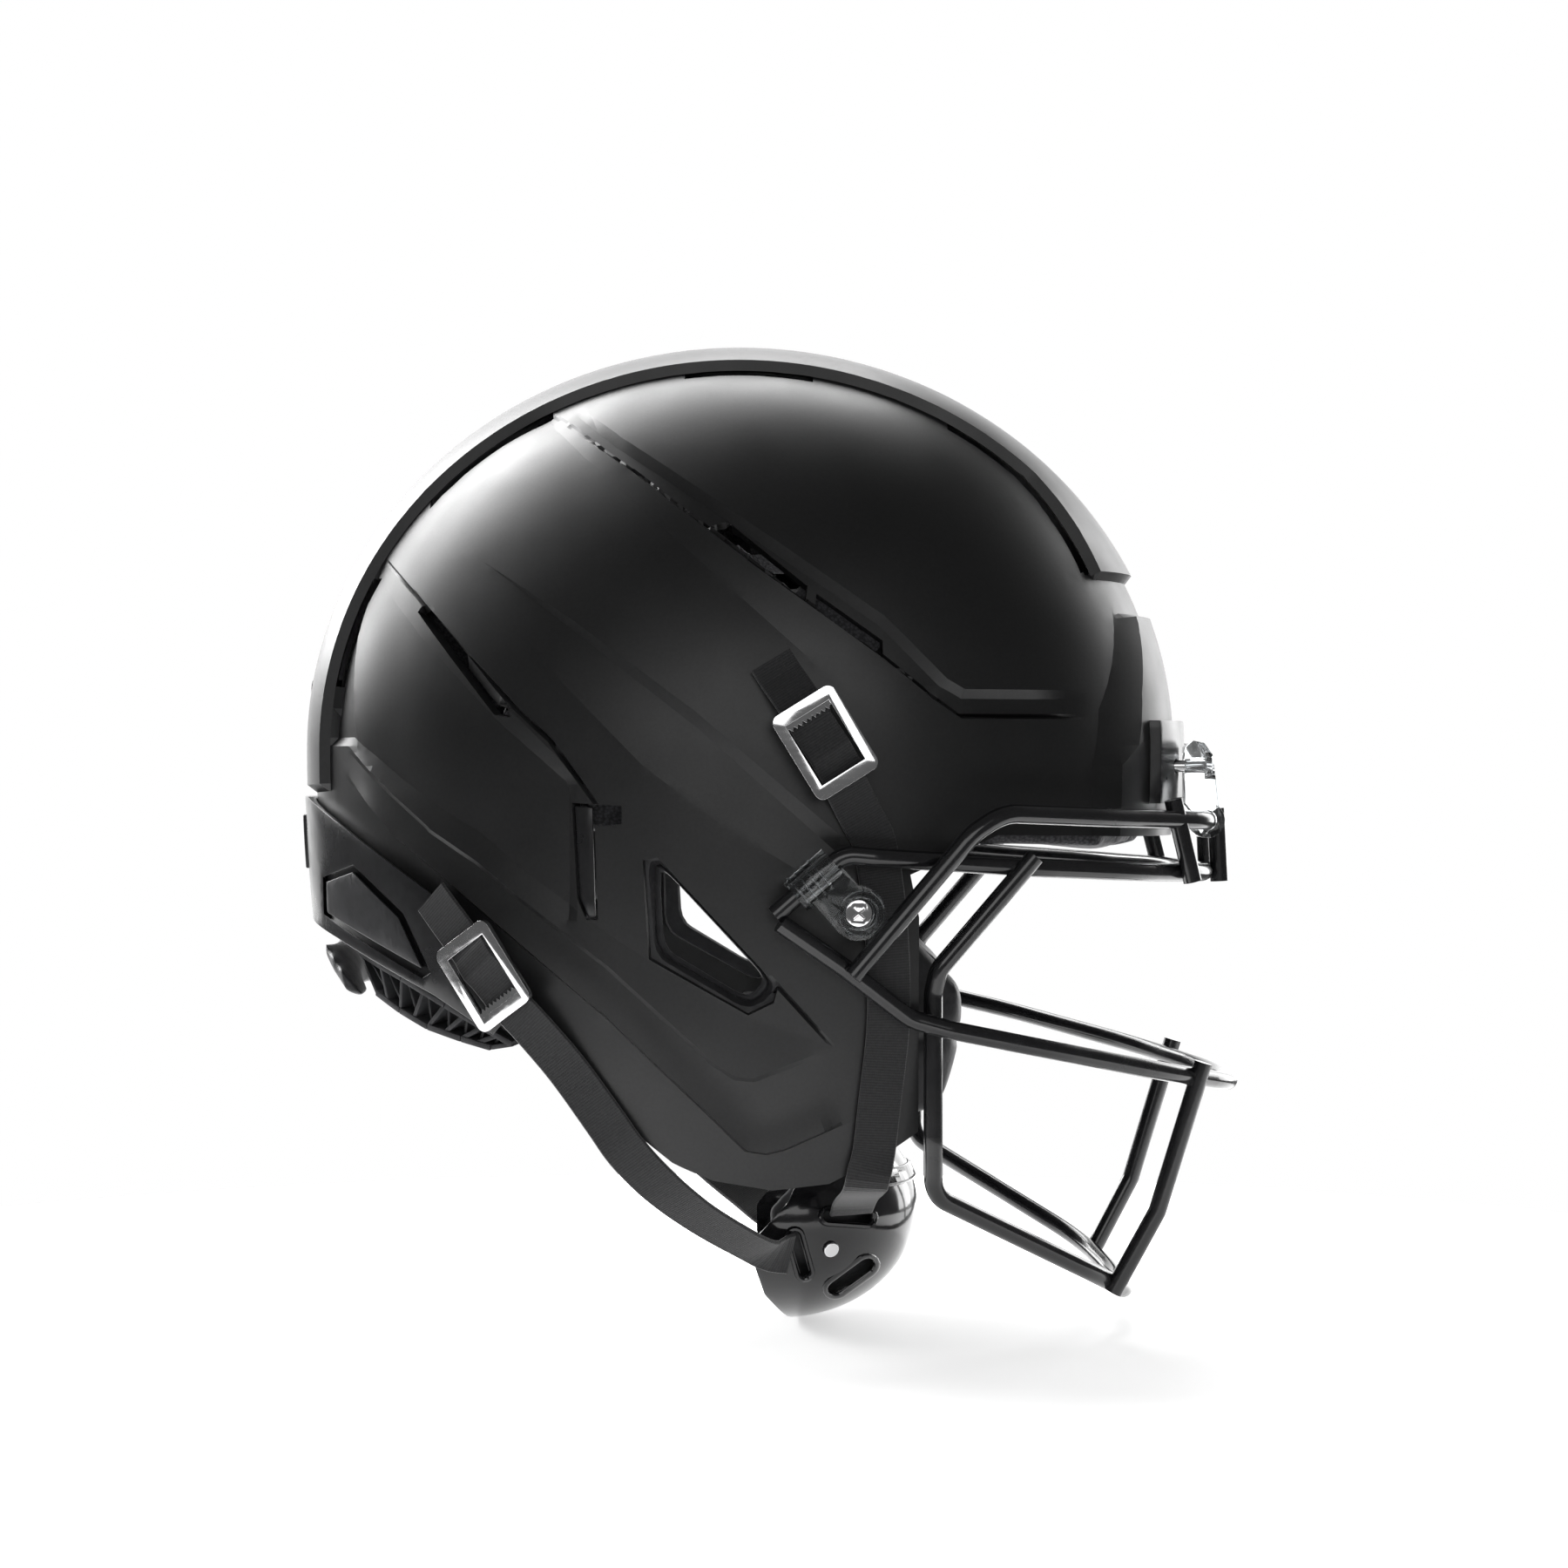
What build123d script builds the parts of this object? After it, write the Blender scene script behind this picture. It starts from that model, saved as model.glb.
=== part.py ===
from build123d import *

import math
import os

# American football helmet, built up as it comes apart on a bench.
# Millimetres. +X is forward, +Y is the wearer's left and +Z is up.
# The origin is the centre of the shell's egg, in the middle of the head cavity.
# Pieces of the right side are modelled at negative Y and mirrored to the left side.

# ---- driving dimensions -------------------------------------------------
SHELL_A = 152.5          # half length of the shell
SHELL_B = 120.0          # half width of the shell
SHELL_TOP = 141.0        # height of the dome above the widest section
SHELL_SKIRT = 300.0      # half axis of the long, nearly upright skirt below it
WALL = 4.0               # polycarbonate wall
RIDGE_RISE = 3.5         # height of the raised band over the crown
RIDGE_HALF = 39.0        # half width of that band
GAP = 0.4                # air between neighbouring pieces
PAD_DEPTH = 37.0         # from the shell's outer face to the face of the liner pads

WIRE_R = 3.2             # quarter-inch mask wire
WIRE_LIFT = 6.6          # wire centre line above the shell, room for the webbing below
WEB_WIDE = 15.0          # chin strap webbing
WEB_THICK = 1.6

PIVOT = Vector(164.5, 0, -25)     # axis of the mask's front wire, in the front clips
FRONT_CLIP_Y = 33.0               # middle of a front clip
FRONT_CLIP_WIDE = 12.0

SIDE_SCREW = (39.2, -53.7)        # side clip's screw, seen from the side (x, z)
SIDE_LOOP = (26.0, -43.3)         # side clip's loop round the mask wire
UPPER_SNAP = (28.3, 1.9)          # upper strap snap and buckle
REAR_SNAP = (-80.5, -75.0)        # rear strap snap and buckle

CUP_CENTRE = (14.0, 0.0, -165.0)  # the cup is the front part of an egg, open behind
CUP_HALF = (50.0, 56.0, 40.0)
CUP_WALL = 2.6
CUP_TOP = -141.0
CUP_BACK = 5.5
CUP_WING = [                         # outline of the cup's wings, seen from the side
    (80, -130), (31, -130), (17, -158), (5.5, -170.5), (5.5, -180), (9, -191.5), (17, -202.5),
    (30, -215), (80, -215),
]

os.makedirs("parts", exist_ok=True)


# ---- helpers --------------------------------------------------------------
def save(name, *solids):
    """Write one node, as one solid or as a group of separate solids."""
    shapes = []
    for item in solids:
        shapes.extend(item.solids())
    body = shapes[0] if len(shapes) == 1 else Compound(children=shapes)
    export_step(body, f"parts/{name}.step")


def left(piece):
    """The left-side twin of a right-side piece."""
    return mirror(piece, about=Plane.XZ)


def save_pair(name, piece):
    save(f"{name}_right", piece)
    save(f"{name}_left", left(piece))


def block(low, high):
    """Box between two corners."""
    size = [high[i] - low[i] for i in range(3)]
    middle = [(high[i] + low[i]) / 2 for i in range(3)]
    return Pos(*middle) * Box(*size)


def egg(grow, rise=0.0):
    """The shell's form, a dome over a long skirt, grown by a thickness."""
    a = SHELL_A + grow + rise
    b = SHELL_B + grow
    dome = scale(Sphere(1), by=(a, b, SHELL_TOP + grow + rise)) & block((-300, -300, 0), (300, 300, 300))
    skirt = scale(Sphere(1), by=(a, b, SHELL_SKIRT + grow)) & block((-300, -300, -200), (300, 300, 0))
    return dome + skirt


def side_slab(points, y_low, y_high):
    """Plate cut to an outline given in the side view as (x, z) points."""
    outline = Polyline([(x, y_low, z) for x, z in points], close=True)
    return extrude(make_face(outline), amount=y_high - y_low, dir=(0, 1, 0))


def skin(x, z, lift=0.0):
    """Point on the right side of the shell at (x, z) and its outward normal."""
    c = SHELL_TOP if z > 0 else SHELL_SKIRT
    y = -SHELL_B * math.sqrt(1 - (x / SHELL_A) ** 2 - (z / c) ** 2)
    normal = Vector(x / SHELL_A ** 2, y / SHELL_B ** 2, z / c ** 2).normalized()
    return Vector(x, y, z) + normal * lift, normal


def skin_plane(x, z, heading, lift=0.0):
    """Plane on the right side of the shell; its X runs along heading, degrees above +X."""
    point, normal = skin(x, z, lift)
    along = Vector(math.cos(math.radians(heading)), 0, math.sin(math.radians(heading)))
    along = along - normal * along.dot(normal)
    return Plane(origin=point, x_dir=along.normalized(), z_dir=normal)


def wire(points, bends):
    """Bent mask wire along straight runs and tangent arcs, with softened ends."""
    path = FilletPolyline(*points, radius=bends) if bends else Line(*points)
    rod = sweep(Plane(origin=path @ 0, z_dir=path % 0) * Circle(WIRE_R), path=path)
    ends = []
    for place in (path @ 0, path @ 1):
        rims = rod.edges().filter_by(GeomType.CIRCLE)
        ends.extend(e for e in rims if (e.center() - place).length < 0.1)
    return fillet(ends, 1.4) if ends else rod


def both_sides(half):
    """Points of a wire that crosses the face: the right half, then its mirror image."""
    return half + [(x, -y, z) for x, y, z in reversed(half)]


def ribbon(stations, width=WEB_WIDE):
    """Webbing through stations of (point, normal), as a chain of ruled flat lengths."""
    sections = []
    for i, (point, normal) in enumerate(stations):
        before = stations[max(i - 1, 0)][0]
        after = stations[min(i + 1, len(stations) - 1)][0]
        along = (after - before).normalized()
        out = (normal - along * normal.dot(along)).normalized()
        across = along.cross(out)
        sections.append(Plane(origin=point, x_dir=across, z_dir=along) * Rectangle(width, WEB_THICK))
    return loft(sections, ruled=True)


# ---- shell ----------------------------------------------------------------
SIDE_OUTLINE = [
    (175, -31), (88, -29), (58, -42), (61, -56.5), (61, -129), (49, -137), (31, -146), (12, -148),
    (-8, -144.6), (-21, -139), (-71, -99), (-103, -80), (-140, -62), (-175, -50), (-175, 160), (175, 160),
]
EAR_OPENING = [(-31, -37), (-26, -36), (14, -79), (12.5, -84.5), (4, -88.6), (-29, -70)]
EAR_SLOT = [(-55, -18), (-38, -19), (-38, -25), (-47, -26), (-46, -57), (-50, -57), (-53, -50)]
TEMPLE_VENTS = [
    [(-9, 76), (-3, 77.3), (24, 55), (23.4, 50)],
    [(27, 52.5), (49.4, 36.6), (49.4, 31.4), (26.5, 47.6)],
]
REAR_VENT = [(-110, 47), (-107, 50), (-76, 14), (-76, 10.5), (-82, 11.5)]
CROWN_VENTS = [(-108, -65), (-19, 26), (73, 109), (116, 132)]    # runs along X beside the ridge
BACK_VENT = (22, 60)                                             # run in height beside the ridge
VENT_WIDE = 5.0
SCREW_BORE = 2.6
SNAP_BORE = 2.2
RECEPTACLE_BORE = 3.8
VALVE_Z = 20.0
VALVE_R = 5.0

inside = egg(-WALL)
pad_face = egg(-PAD_DEPTH)
liner_back = egg(-WALL - GAP)

ridge = egg(0, RIDGE_RISE) & block((-200, -RIDGE_HALF, -29.5), (200, RIDGE_HALF, 160))
ridge = ridge - block((-200, -50, -40), (0, 50, -13))
shell = (egg(0) + ridge) - inside
shell = shell & side_slab(SIDE_OUTLINE, -200, 200)

for window in [EAR_OPENING, EAR_SLOT, REAR_VENT] + TEMPLE_VENTS:
    shell = shell - side_slab(window, -150, -40) - side_slab(window, 40, 150)
for side in (-1, 1):
    near = side * (RIDGE_HALF + 0.4)
    far = side * (RIDGE_HALF + 0.4 + VENT_WIDE)
    for start, stop in CROWN_VENTS:
        shell = shell - block((start, min(near, far), 60), (stop, max(near, far), 170))
    shell = shell - block((-170, min(near, far), BACK_VENT[0]), (-100, max(near, far), BACK_VENT[1]))
    shell = shell - Pos(150, side * FRONT_CLIP_Y, -6) * Rot(0, 90, 0) * Cylinder(SCREW_BORE, 60)
shell = shell - Pos(-150, 0, VALVE_Z) * Rot(0, 90, 0) * Cylinder(VALVE_R + 0.2, 40)


def skin_drill(x, z, radius):
    """Right-side drill through the shell, square to its surface."""
    return skin_plane(x, z, 0).location * Cylinder(radius, 40)


for x, z, radius in [(*SIDE_SCREW, RECEPTACLE_BORE), (*UPPER_SNAP, SNAP_BORE), (*REAR_SNAP, SNAP_BORE)]:
    drill = skin_drill(x, z, radius)
    shell = shell - drill - left(drill)
save("shell", shell)

# ---- bumpers --------------------------------------------------------------
BUMPER_OUTLINE = [
    (-175, -14.5), (-153, -17), (-140, -25), (-101, -50.6), (-90, -70), (-79, -92.5), (-82, -96.2),
    (-103, -83.5), (-140, -66), (-175, -52),
]
POD_OUTLINE = [(-146, -45), (-133, -40), (-114, -56), (-104, -76), (-107, -78), (-146, -58)]
BUMPER_THICK = 4.4

bumper_zone = side_slab(BUMPER_OUTLINE, -200, 200)
rear_bumper = (egg(BUMPER_THICK) - egg(GAP)) & bumper_zone
pod_pocket = side_slab(POD_OUTLINE, -200, -25) + side_slab(POD_OUTLINE, 25, 200)
rear_bumper = rear_bumper - (pod_pocket - egg(BUMPER_THICK - 2.0))
rear_bumper = rear_bumper - block((-200, -16, -43), (-100, 16, -23))
for drill in (skin_drill(*REAR_SNAP, 9.0), left(skin_drill(*REAR_SNAP, 9.0))):
    rear_bumper = rear_bumper - drill
save("rear_bumper", rear_bumper)

pod_shape = [(-144, -46.5), (-133, -42.5), (-115.5, -57.5), (-107, -74.5), (-144, -57)]
pod = (egg(BUMPER_THICK + 1.2) - egg(BUMPER_THICK - 1.7)) & side_slab(pod_shape, -200, -27)
save_pair("rear_pod", pod)

plate = (egg(BUMPER_THICK + 1.0) - egg(GAP)) & block((-200, -15.6, -42.6), (-100, 15.6, -23.4))
save("rear_plate", plate)

nose = egg(0.4, RIDGE_RISE + 0.1)
nose_bumper = (egg(3.9, RIDGE_RISE + 0.1) - nose) & block((100, -48, -19), (200, 48, 10))
for side in (-1, 1):
    nose_bumper = nose_bumper - Pos(150, side * FRONT_CLIP_Y, -6) * Rot(0, 90, 0) * Cylinder(SCREW_BORE, 60)
save("nose_bumper", nose_bumper)

# ---- liner ----------------------------------------------------------------
liner = liner_back - pad_face
NUT_REACH = 143.0        # front nuts sit between the shell and the front pad


def pad(low, high):
    """Liner pad: the part of the liner between two corners."""
    return liner & block(low, high)


front_pad = pad((60, -62, -36), (200, 62, 58))
for side in (-1, 1):
    front_pad = front_pad - Pos(NUT_REACH - 8, side * FRONT_CLIP_Y, -6) * Rot(0, 90, 0) * Cylinder(9, 30)
save("front_pad", front_pad)
save("crown_pad", pad((-78, -70, 62), (78, 70, 200)))
back_pad = pad((-200, -66, -38), (-60, 66, 58))
back_pad = back_pad - Pos(-140, 0, VALVE_Z) * Rot(0, 90, 0) * Cylinder(9, 40)
save("back_pad", back_pad)
side_pad = pad((-56, -200, -30), (56, -63, 58))
side_pad = side_pad - skin_plane(*UPPER_SNAP, 0).location * Cylinder(6.5, 18)
save_pair("side_pad", side_pad)

JAW_PAD = [
    (-6, -92), (20, -92), (30, -63), (62, -62), (72, -74), (78, -79), (79, -87), (74, -113),
    (69, -125), (2, -132),
]
jaw_pad = (egg(-WALL - 3.4) - egg(-PAD_DEPTH + 2)) & side_slab(JAW_PAD, -200, -30)
save_pair("jaw_pad", jaw_pad)
snaps = []
for x, z in [(28, -112), (48, -104)]:
    snaps.append(skin_plane(x, z, 0, -WALL - 0.3).location * Pos(0, 0, -1.35) * Cylinder(5, 2.7))
save("jaw_pad_snaps", *snaps, *[left(s) for s in snaps])

OCCIPITAL_PAD = [(-152, -69), (-147, -66), (-137, -75), (-128, -88), (-132, -91), (-138, -88)]
occipital = (egg(4.5) - egg(-13)) & side_slab(OCCIPITAL_PAD, -46, 46)
save("occipital_pad", occipital)

# Soft neck cushion along the shell's lower rear edge.
CUSHION_OUTLINE = [(-141, -70.5), (-104, -87), (-77, -101.5), (-88, -103), (-112, -97), (-133, -86)]
cushion = (egg(-WALL - 1.5) - egg(-WALL - 12)) & side_slab(CUSHION_OUTLINE, -200, -49)
save_pair("neck_cushion", cushion)

# ---- ear slot inserts -----------------------------------------------------
SLOT_INSERT = [(-53.8, -19), (-47.8, -19.5), (-46.9, -56), (-49.6, -56), (-52.2, -49.5)]
insert = (egg(-1.2) - egg(-WALL + 0.4)) & side_slab(SLOT_INSERT, -200, -40)
save_pair("ear_slot_insert", insert)

# ---- inflation valve ------------------------------------------------------
# Rubber valve on the middle line at the back, with a needle bore along X.
NEEDLE_R = 1.1
valve_body = Pos(-148.3, 0, VALVE_Z) * Rot(0, 90, 0) * Cylinder(VALVE_R, 12.6)
valve_flange = Pos(-140.8, 0, VALVE_Z) * Rot(0, 90, 0) * Cylinder(7.5, 2.4)
needle_bore = Pos(-150, 0, VALVE_Z) * Rot(0, 90, 0) * Cylinder(NEEDLE_R, 40)
save("inflation_valve", valve_body + valve_flange - needle_bore)

# ---- front clips, which the mask turns in ----------------------------------
CLIP_LOOP_R = 6.3
CLIP_BACK = 156.9
CLIP_PROFILE = [
    (CLIP_BACK, -19), (CLIP_BACK, 0.5), (159.5, 3), (163.5, 2.2), (166.5, -2), (168.8, -20), (164, -27),
]


def front_clip(y):
    low = y - FRONT_CLIP_WIDE / 2
    body = side_slab(CLIP_PROFILE, low, low + FRONT_CLIP_WIDE)
    loop = Pos(PIVOT.X, y, PIVOT.Z) * Rot(90, 0, 0) * Cylinder(CLIP_LOOP_R, FRONT_CLIP_WIDE)
    wire_way = Pos(PIVOT.X, y, PIVOT.Z) * Rot(90, 0, 0) * Cylinder(WIRE_R + 0.3, 60)
    screw_way = Pos(150, y, -6) * Rot(0, 90, 0) * Cylinder(SCREW_BORE, 60)
    head_way = Pos(167, y, -6) * Rot(0, 90, 0) * Cylinder(4.8, 6)
    return body + loop - wire_way - screw_way - head_way


save_pair("front_clip", front_clip(-FRONT_CLIP_Y))

HEAD_R = 4.2
screws = []
nuts = []
for y in (-FRONT_CLIP_Y, FRONT_CLIP_Y):
    head = Pos(165.2, y, -6) * Rot(0, 90, 0) * Cylinder(HEAD_R, 2.2)
    upright = block((165.2, y - 0.5, -8.6), (167, y + 0.5, -3.4))
    level = block((165.2, y - 2.6, -6.5), (167, y + 2.6, -5.5))
    head = head - upright - level
    shank = Pos(149.9, y, -6) * Rot(0, 90, 0) * Cylinder(2.1, 29)
    screws.append(head + shank)
    nut = Pos(137.3, y, -6) * Rot(0, 90, 0) * Cylinder(6.5, 2.2)
    nuts.append(nut - Pos(138, y, -6) * Rot(0, 90, 0) * Cylinder(2.3, 20))
save("front_clip_screws", *screws)
save("front_clip_nuts", *nuts)

# ---- facemask wires -------------------------------------------------------
def over(x, z, lift=WIRE_LIFT):
    """Wire centre line beside the shell's right side, as (x, y, z)."""
    return (x, skin(x, z)[0].Y - lift, z)


FRONT_FLAT = 47.0        # half length of the straight front stretch of the brow wire
brow_half = [(38.5, -124.6, -75), (78.5, -118, -28), (89, -114, -21.5), (128, -85, -23.5),
             (PIVOT.X, -FRONT_FLAT, -25)]
lower_half = [over(12.7, -55), over(35.5, -35), over(46, -36, 7.0), (101, -99, -40), (136, -76, -42),
              (165, -38, -43.5)]
cheek_half = [over(14.6, -57.5, 7.6), over(35.7, -72.4), over(58, -90), (72, -109, -94),
              (104, -98, -101), (150, -64, -112), (175.4, -24, -118.6)]
frame_half = [(100, -104.5, -36), (67.5, -105.5, -74), (65.8, -104, -82), (65.8, -103.5, -132),
              (66, -101, -150), (127, -55, -184), (137.5, -20, -193)]

def cage_wire(name, half, bends):
    """Wire across the face; bends are its corner radii from the right end to the middle."""
    save(name, wire(both_sides(half), bends + bends[::-1]))


cage_wire("brow_wire", brow_half, [18, 18, 90, 25])
cage_wire("lower_brow_wire", lower_half, [9, 9, 60, 60, 55])
cage_wire("cheek_wire", cheek_half, [12, 12, 14, 70, 80, 60])
cage_wire("frame_wire", frame_half, [9, 9, 30, 11, 45, 50])

front_bar = wire([(161.6, -54, -109), (145.8, -52.5, -161), (130.5, -50, -189.5)], [9])
save_pair("front_bar", front_bar)
outer_bar = wire([(150.5, -60, -17.5), (157.5, -57.5, -46)], [])
save("outer_brow_bars", outer_bar, left(outer_bar))
inner_bar = wire([(169.6, -20, -21), (170.9, -20, -47)], [])
save("inner_brow_bars", inner_bar, left(inner_bar))

# ---- side clips -----------------------------------------------------------
# A clear clip: a loop round the mask wire, and a round end that a screw holds.
WIRE_HEADING = 41.4      # the wire's rise inside the loop, seen from the side
loop_plane = skin_plane(*SIDE_LOOP, WIRE_HEADING)
CLIP_FOOT = 2.9          # underside of the clip above the shell, room for the webbing
CLIP_LOOP_HALF = 8.4
CLIP_END = (3.0, -16.7)  # screw centre in the loop's plane
CLIP_END_R = 9.0
CLIP_HIGH = 10.2
start_point = Vector(*over(12.7, -55))
stop_point = Vector(*over(35.5, -35))
loop_line = Plane(origin=(start_point + stop_point) * 0.5 + (stop_point - start_point) * 0.08,
                  z_dir=(stop_point - start_point).normalized())
side_clip = loop_line.location * Cylinder(6.2, 2 * CLIP_LOOP_HALF)
arm = Pos(1.5, -9, (CLIP_FOOT + CLIP_HIGH) / 2) * Box(15, 14, CLIP_HIGH - CLIP_FOOT)
round_end = Pos(*CLIP_END, (CLIP_FOOT + CLIP_HIGH) / 2) * Cylinder(CLIP_END_R, CLIP_HIGH - CLIP_FOOT)
side_clip = side_clip + loop_plane.location * (arm + round_end)
side_clip = side_clip - loop_line.location * Cylinder(WIRE_R + 0.25, 60)
screw_way = Pos(*CLIP_END, 0) * Cylinder(2.4, 60)
head_way = Pos(*CLIP_END, CLIP_HIGH) * Cylinder(5.2, 5)
side_clip = side_clip - loop_plane.location * (screw_way + head_way)
side_clip = side_clip - egg(0.6)
save_pair("side_clip", side_clip)

screw_head = Pos(*CLIP_END, CLIP_HIGH - 1.2) * Cylinder(4.4, 2.2)
cross = Pos(*CLIP_END, CLIP_HIGH) * (Box(5, 1, 1.6) + Box(1, 5, 1.6))
screw_shank = Pos(*CLIP_END, CLIP_HIGH - 5.0) * Cylinder(2.1, 6.4)
side_screw = loop_plane.location * (screw_head + screw_shank - cross)
save("side_clip_screws", side_screw, left(side_screw))

receptacle_plane = skin_plane(*SIDE_SCREW, 0)
receptacle = Pos(0, 0, -2.6) * Cylinder(3.5, 4.8) + Pos(0, 0, -5.9) * Cylinder(8, 2.2)
receptacle = receptacle_plane.location * (receptacle - Pos(0, 0, -4) * Cylinder(2.4, 20))
save("side_receptacles", receptacle, left(receptacle))

# ---- snaps, tabs and buckles -------------------------------------------------
UPPER_HEADING = -58.0
REAR_HEADING = -53.0
UPPER_TAB_LIFT = 5.0
REAR_TAB_LIFT = 6.6
studs = []
caps = []
for (x, z), tab_lift in ((UPPER_SNAP, UPPER_TAB_LIFT), (REAR_SNAP, REAR_TAB_LIFT)):
    spot = skin_plane(x, z, 0).location
    stud = Pos(0, 0, -1.0) * Cylinder(1.9, 7.6)
    stud = stud + Pos(0, 0, 0.8) * Cylinder(4.0, 1.0) + Pos(0, 0, -4.9) * Cylinder(4.5, 1.0)
    cap_high = tab_lift - WEB_THICK / 2 - 0.6 - 1.6
    cap = Pos(0, 0, 1.6 + cap_high / 2) * Cylinder(7.2, cap_high)
    cap = cap - Pos(0, 0, 1.6 + cap_high / 2 - 0.7) * Cylinder(4.6, cap_high)
    studs.append(spot * stud)
    caps.append(spot * cap)
save("snap_studs", *studs, *[left(s) for s in studs])
save("snap_caps", *caps, *[left(c) for c in caps])

BUCKLE_LONG = 32.0
BUCKLE_WIDE = 24.0
BUCKLE_THICK = 2.2
TOOTH_COUNT = 9


def buckle(tooth_end):
    """Ladder lock in its own plane; tooth_end is +1 or -1 along X for the toothed bar."""
    frame = Box(BUCKLE_LONG, BUCKLE_WIDE, BUCKLE_THICK)
    frame = fillet(frame.edges().filter_by(Axis.Z), 3.0)
    frame = frame - Box(BUCKLE_LONG - 9, BUCKLE_WIDE - 7, 10)
    bar_x = tooth_end * (BUCKLE_LONG / 2 - 4.4)
    bar = Pos(bar_x, 0, 0) * Box(3.4, BUCKLE_WIDE - 4, 1.6)
    pitch = (BUCKLE_WIDE - 8) / TOOTH_COUNT
    teeth = []
    for i in range(TOOTH_COUNT):
        y = (i - (TOOTH_COUNT - 1) / 2) * pitch
        x = bar_x - tooth_end * 1.6
        tip = x - tooth_end * 1.3
        tooth = Polyline([(x, y - pitch / 2), (tip, y), (x, y + pitch / 2)], close=True)
        teeth.append(extrude(make_face(tooth), amount=0.8, both=True))
    return frame + bar + teeth


def tab_and_buckle(name, snap, heading, lift, end_lift, tooth_end):
    """Webbing tab over the snap, and the buckle that lies on it."""
    tab = []
    for distance in (-32, -14, -2, 10):
        x = snap[0] + distance * math.cos(math.radians(heading))
        z = snap[1] + distance * math.sin(math.radians(heading))
        tab.append(skin(x, z, end_lift if distance < -20 else lift))
    spot = skin_plane(*snap, heading, lift + WEB_THICK / 2 + 0.3 + BUCKLE_THICK / 2)
    lock = spot.location * buckle(tooth_end)
    save_pair(f"{name}_tab", ribbon(tab))
    save_pair(f"{name}_buckle", lock)
    return spot


upper_spot = tab_and_buckle("upper", UPPER_SNAP, UPPER_HEADING, UPPER_TAB_LIFT, 1.5, -1)
rear_spot = tab_and_buckle("rear", REAR_SNAP, REAR_HEADING, REAR_TAB_LIFT, 6.2, 1)
for name, spot in (("upper", upper_spot), ("rear", rear_spot)):
    hinge = spot.location * Pos(-BUCKLE_LONG / 2, 0, -BUCKLE_THICK / 2)
    print(name, "buckle hinge", tuple(round(v, 2) for v in hinge.position), "axis",
          tuple(round(-v, 4) for v in spot.y_dir))

# ---- chin straps ----------------------------------------------------------
# Each station is a point and the way that the webbing faces there.
def free(x, y, z, nx, ny, nz):
    return Vector(x, y, z), Vector(nx, ny, nz).normalized()


upper_strap = [skin(34.6, -10, UPPER_TAB_LIFT - 0.5), skin(37.5, -15.5, 2.6), skin(41.5, -23, 1.3),
               skin(46, -33, 1.2), skin(49.5, -60, 1.6), skin(50.3, -90, 1.6), skin(47.5, -118, 1.6),
               skin(45.5, -135, 1.9), free(44.5, -103, -142, 0.1, -0.97, -0.2),
               free(43.5, -101, -147, 0.05, -0.7, -0.7), free(42.5, -93, -150, 0.05, -0.4, -0.9),
               free(41, -74, -154, 0.1, -0.3, -0.94), free(40, -59, -157.5, 0.2, -0.5, -0.84),
               free(39.4, -52.2, -161.5, 0.45, -0.8, -0.3)]
save_pair("upper_strap", ribbon(upper_strap))
rear_strap = [skin(-73.2, -85, REAR_TAB_LIFT - 0.5), skin(-66.5, -93, 4.6), skin(-56, -107, 2.0),
              skin(-44.1, -123.6, 1.8), skin(-36.3, -134.7, 1.8),
              free(-26.3, -100, -146.6, -0.1, -0.9, -0.43),
              free(-13.5, -89, -158.2, -0.1, -0.8, -0.6), free(2, -74, -168.6, -0.15, -0.8, -0.58),
              free(11, -63, -173.6, -0.2, -0.85, -0.42), free(17, -57.4, -175.3, -0.1, -0.9, -0.3)]
save_pair("rear_strap", ribbon(rear_strap))

# ---- chin cup -------------------------------------------------------------
wing = side_slab(CUP_WING, -80, 80)
wing = fillet(wing.edges().filter_by(Axis.Y), 3.5)


def cup_form(shrink, top, back):
    """Egg of the chin cup, cut off level at the top and upright at the back."""
    body = Pos(*CUP_CENTRE) * scale(Sphere(1), by=tuple(h - shrink for h in CUP_HALF))
    return body & block((back, -100, -250), (150, 100, top))


def cup_plane(x, z):
    """Plane on the cup's right wing at (x, z), facing outward."""
    u = (x - CUP_CENTRE[0]) / CUP_HALF[0]
    w = (z - CUP_CENTRE[2]) / CUP_HALF[2]
    y = -CUP_HALF[1] * math.sqrt(1 - u * u - w * w)
    normal = Vector(u / CUP_HALF[0], y / CUP_HALF[1] ** 2, w / CUP_HALF[2])
    return Plane(origin=(x, y, z), z_dir=normal.normalized())


RIVET = (32.0, -174.3)
rivet_spot = cup_plane(*RIVET).location
chin_cup = (cup_form(0, CUP_TOP, CUP_BACK) & wing) - cup_form(CUP_WALL, 0, -100)
upper_slot = Pos(38.0, 0, -163.6) * Rot(0, 8, 0) * Box(17.0, 200, 3.2)
rear_slot = Pos(21.2, 0, -175.9) * Rot(0, -15, 0) * Box(3.2, 200, 16.5)
air_slot = Pos(39.5, 0, -186.0) * Rot(0, -36, 0) * Box(19, 200, 6.4)
air_slot = fillet(air_slot.edges().filter_by(GeomType.LINE).sort_by(SortBy.LENGTH)[-4:], 3.0)
rivet_way = rivet_spot * Cylinder(2.0, 30)
for cut in (upper_slot, rear_slot, air_slot, rivet_way, left(rivet_way)):
    chin_cup = chin_cup - cut
save("chin_cup", chin_cup)

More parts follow.
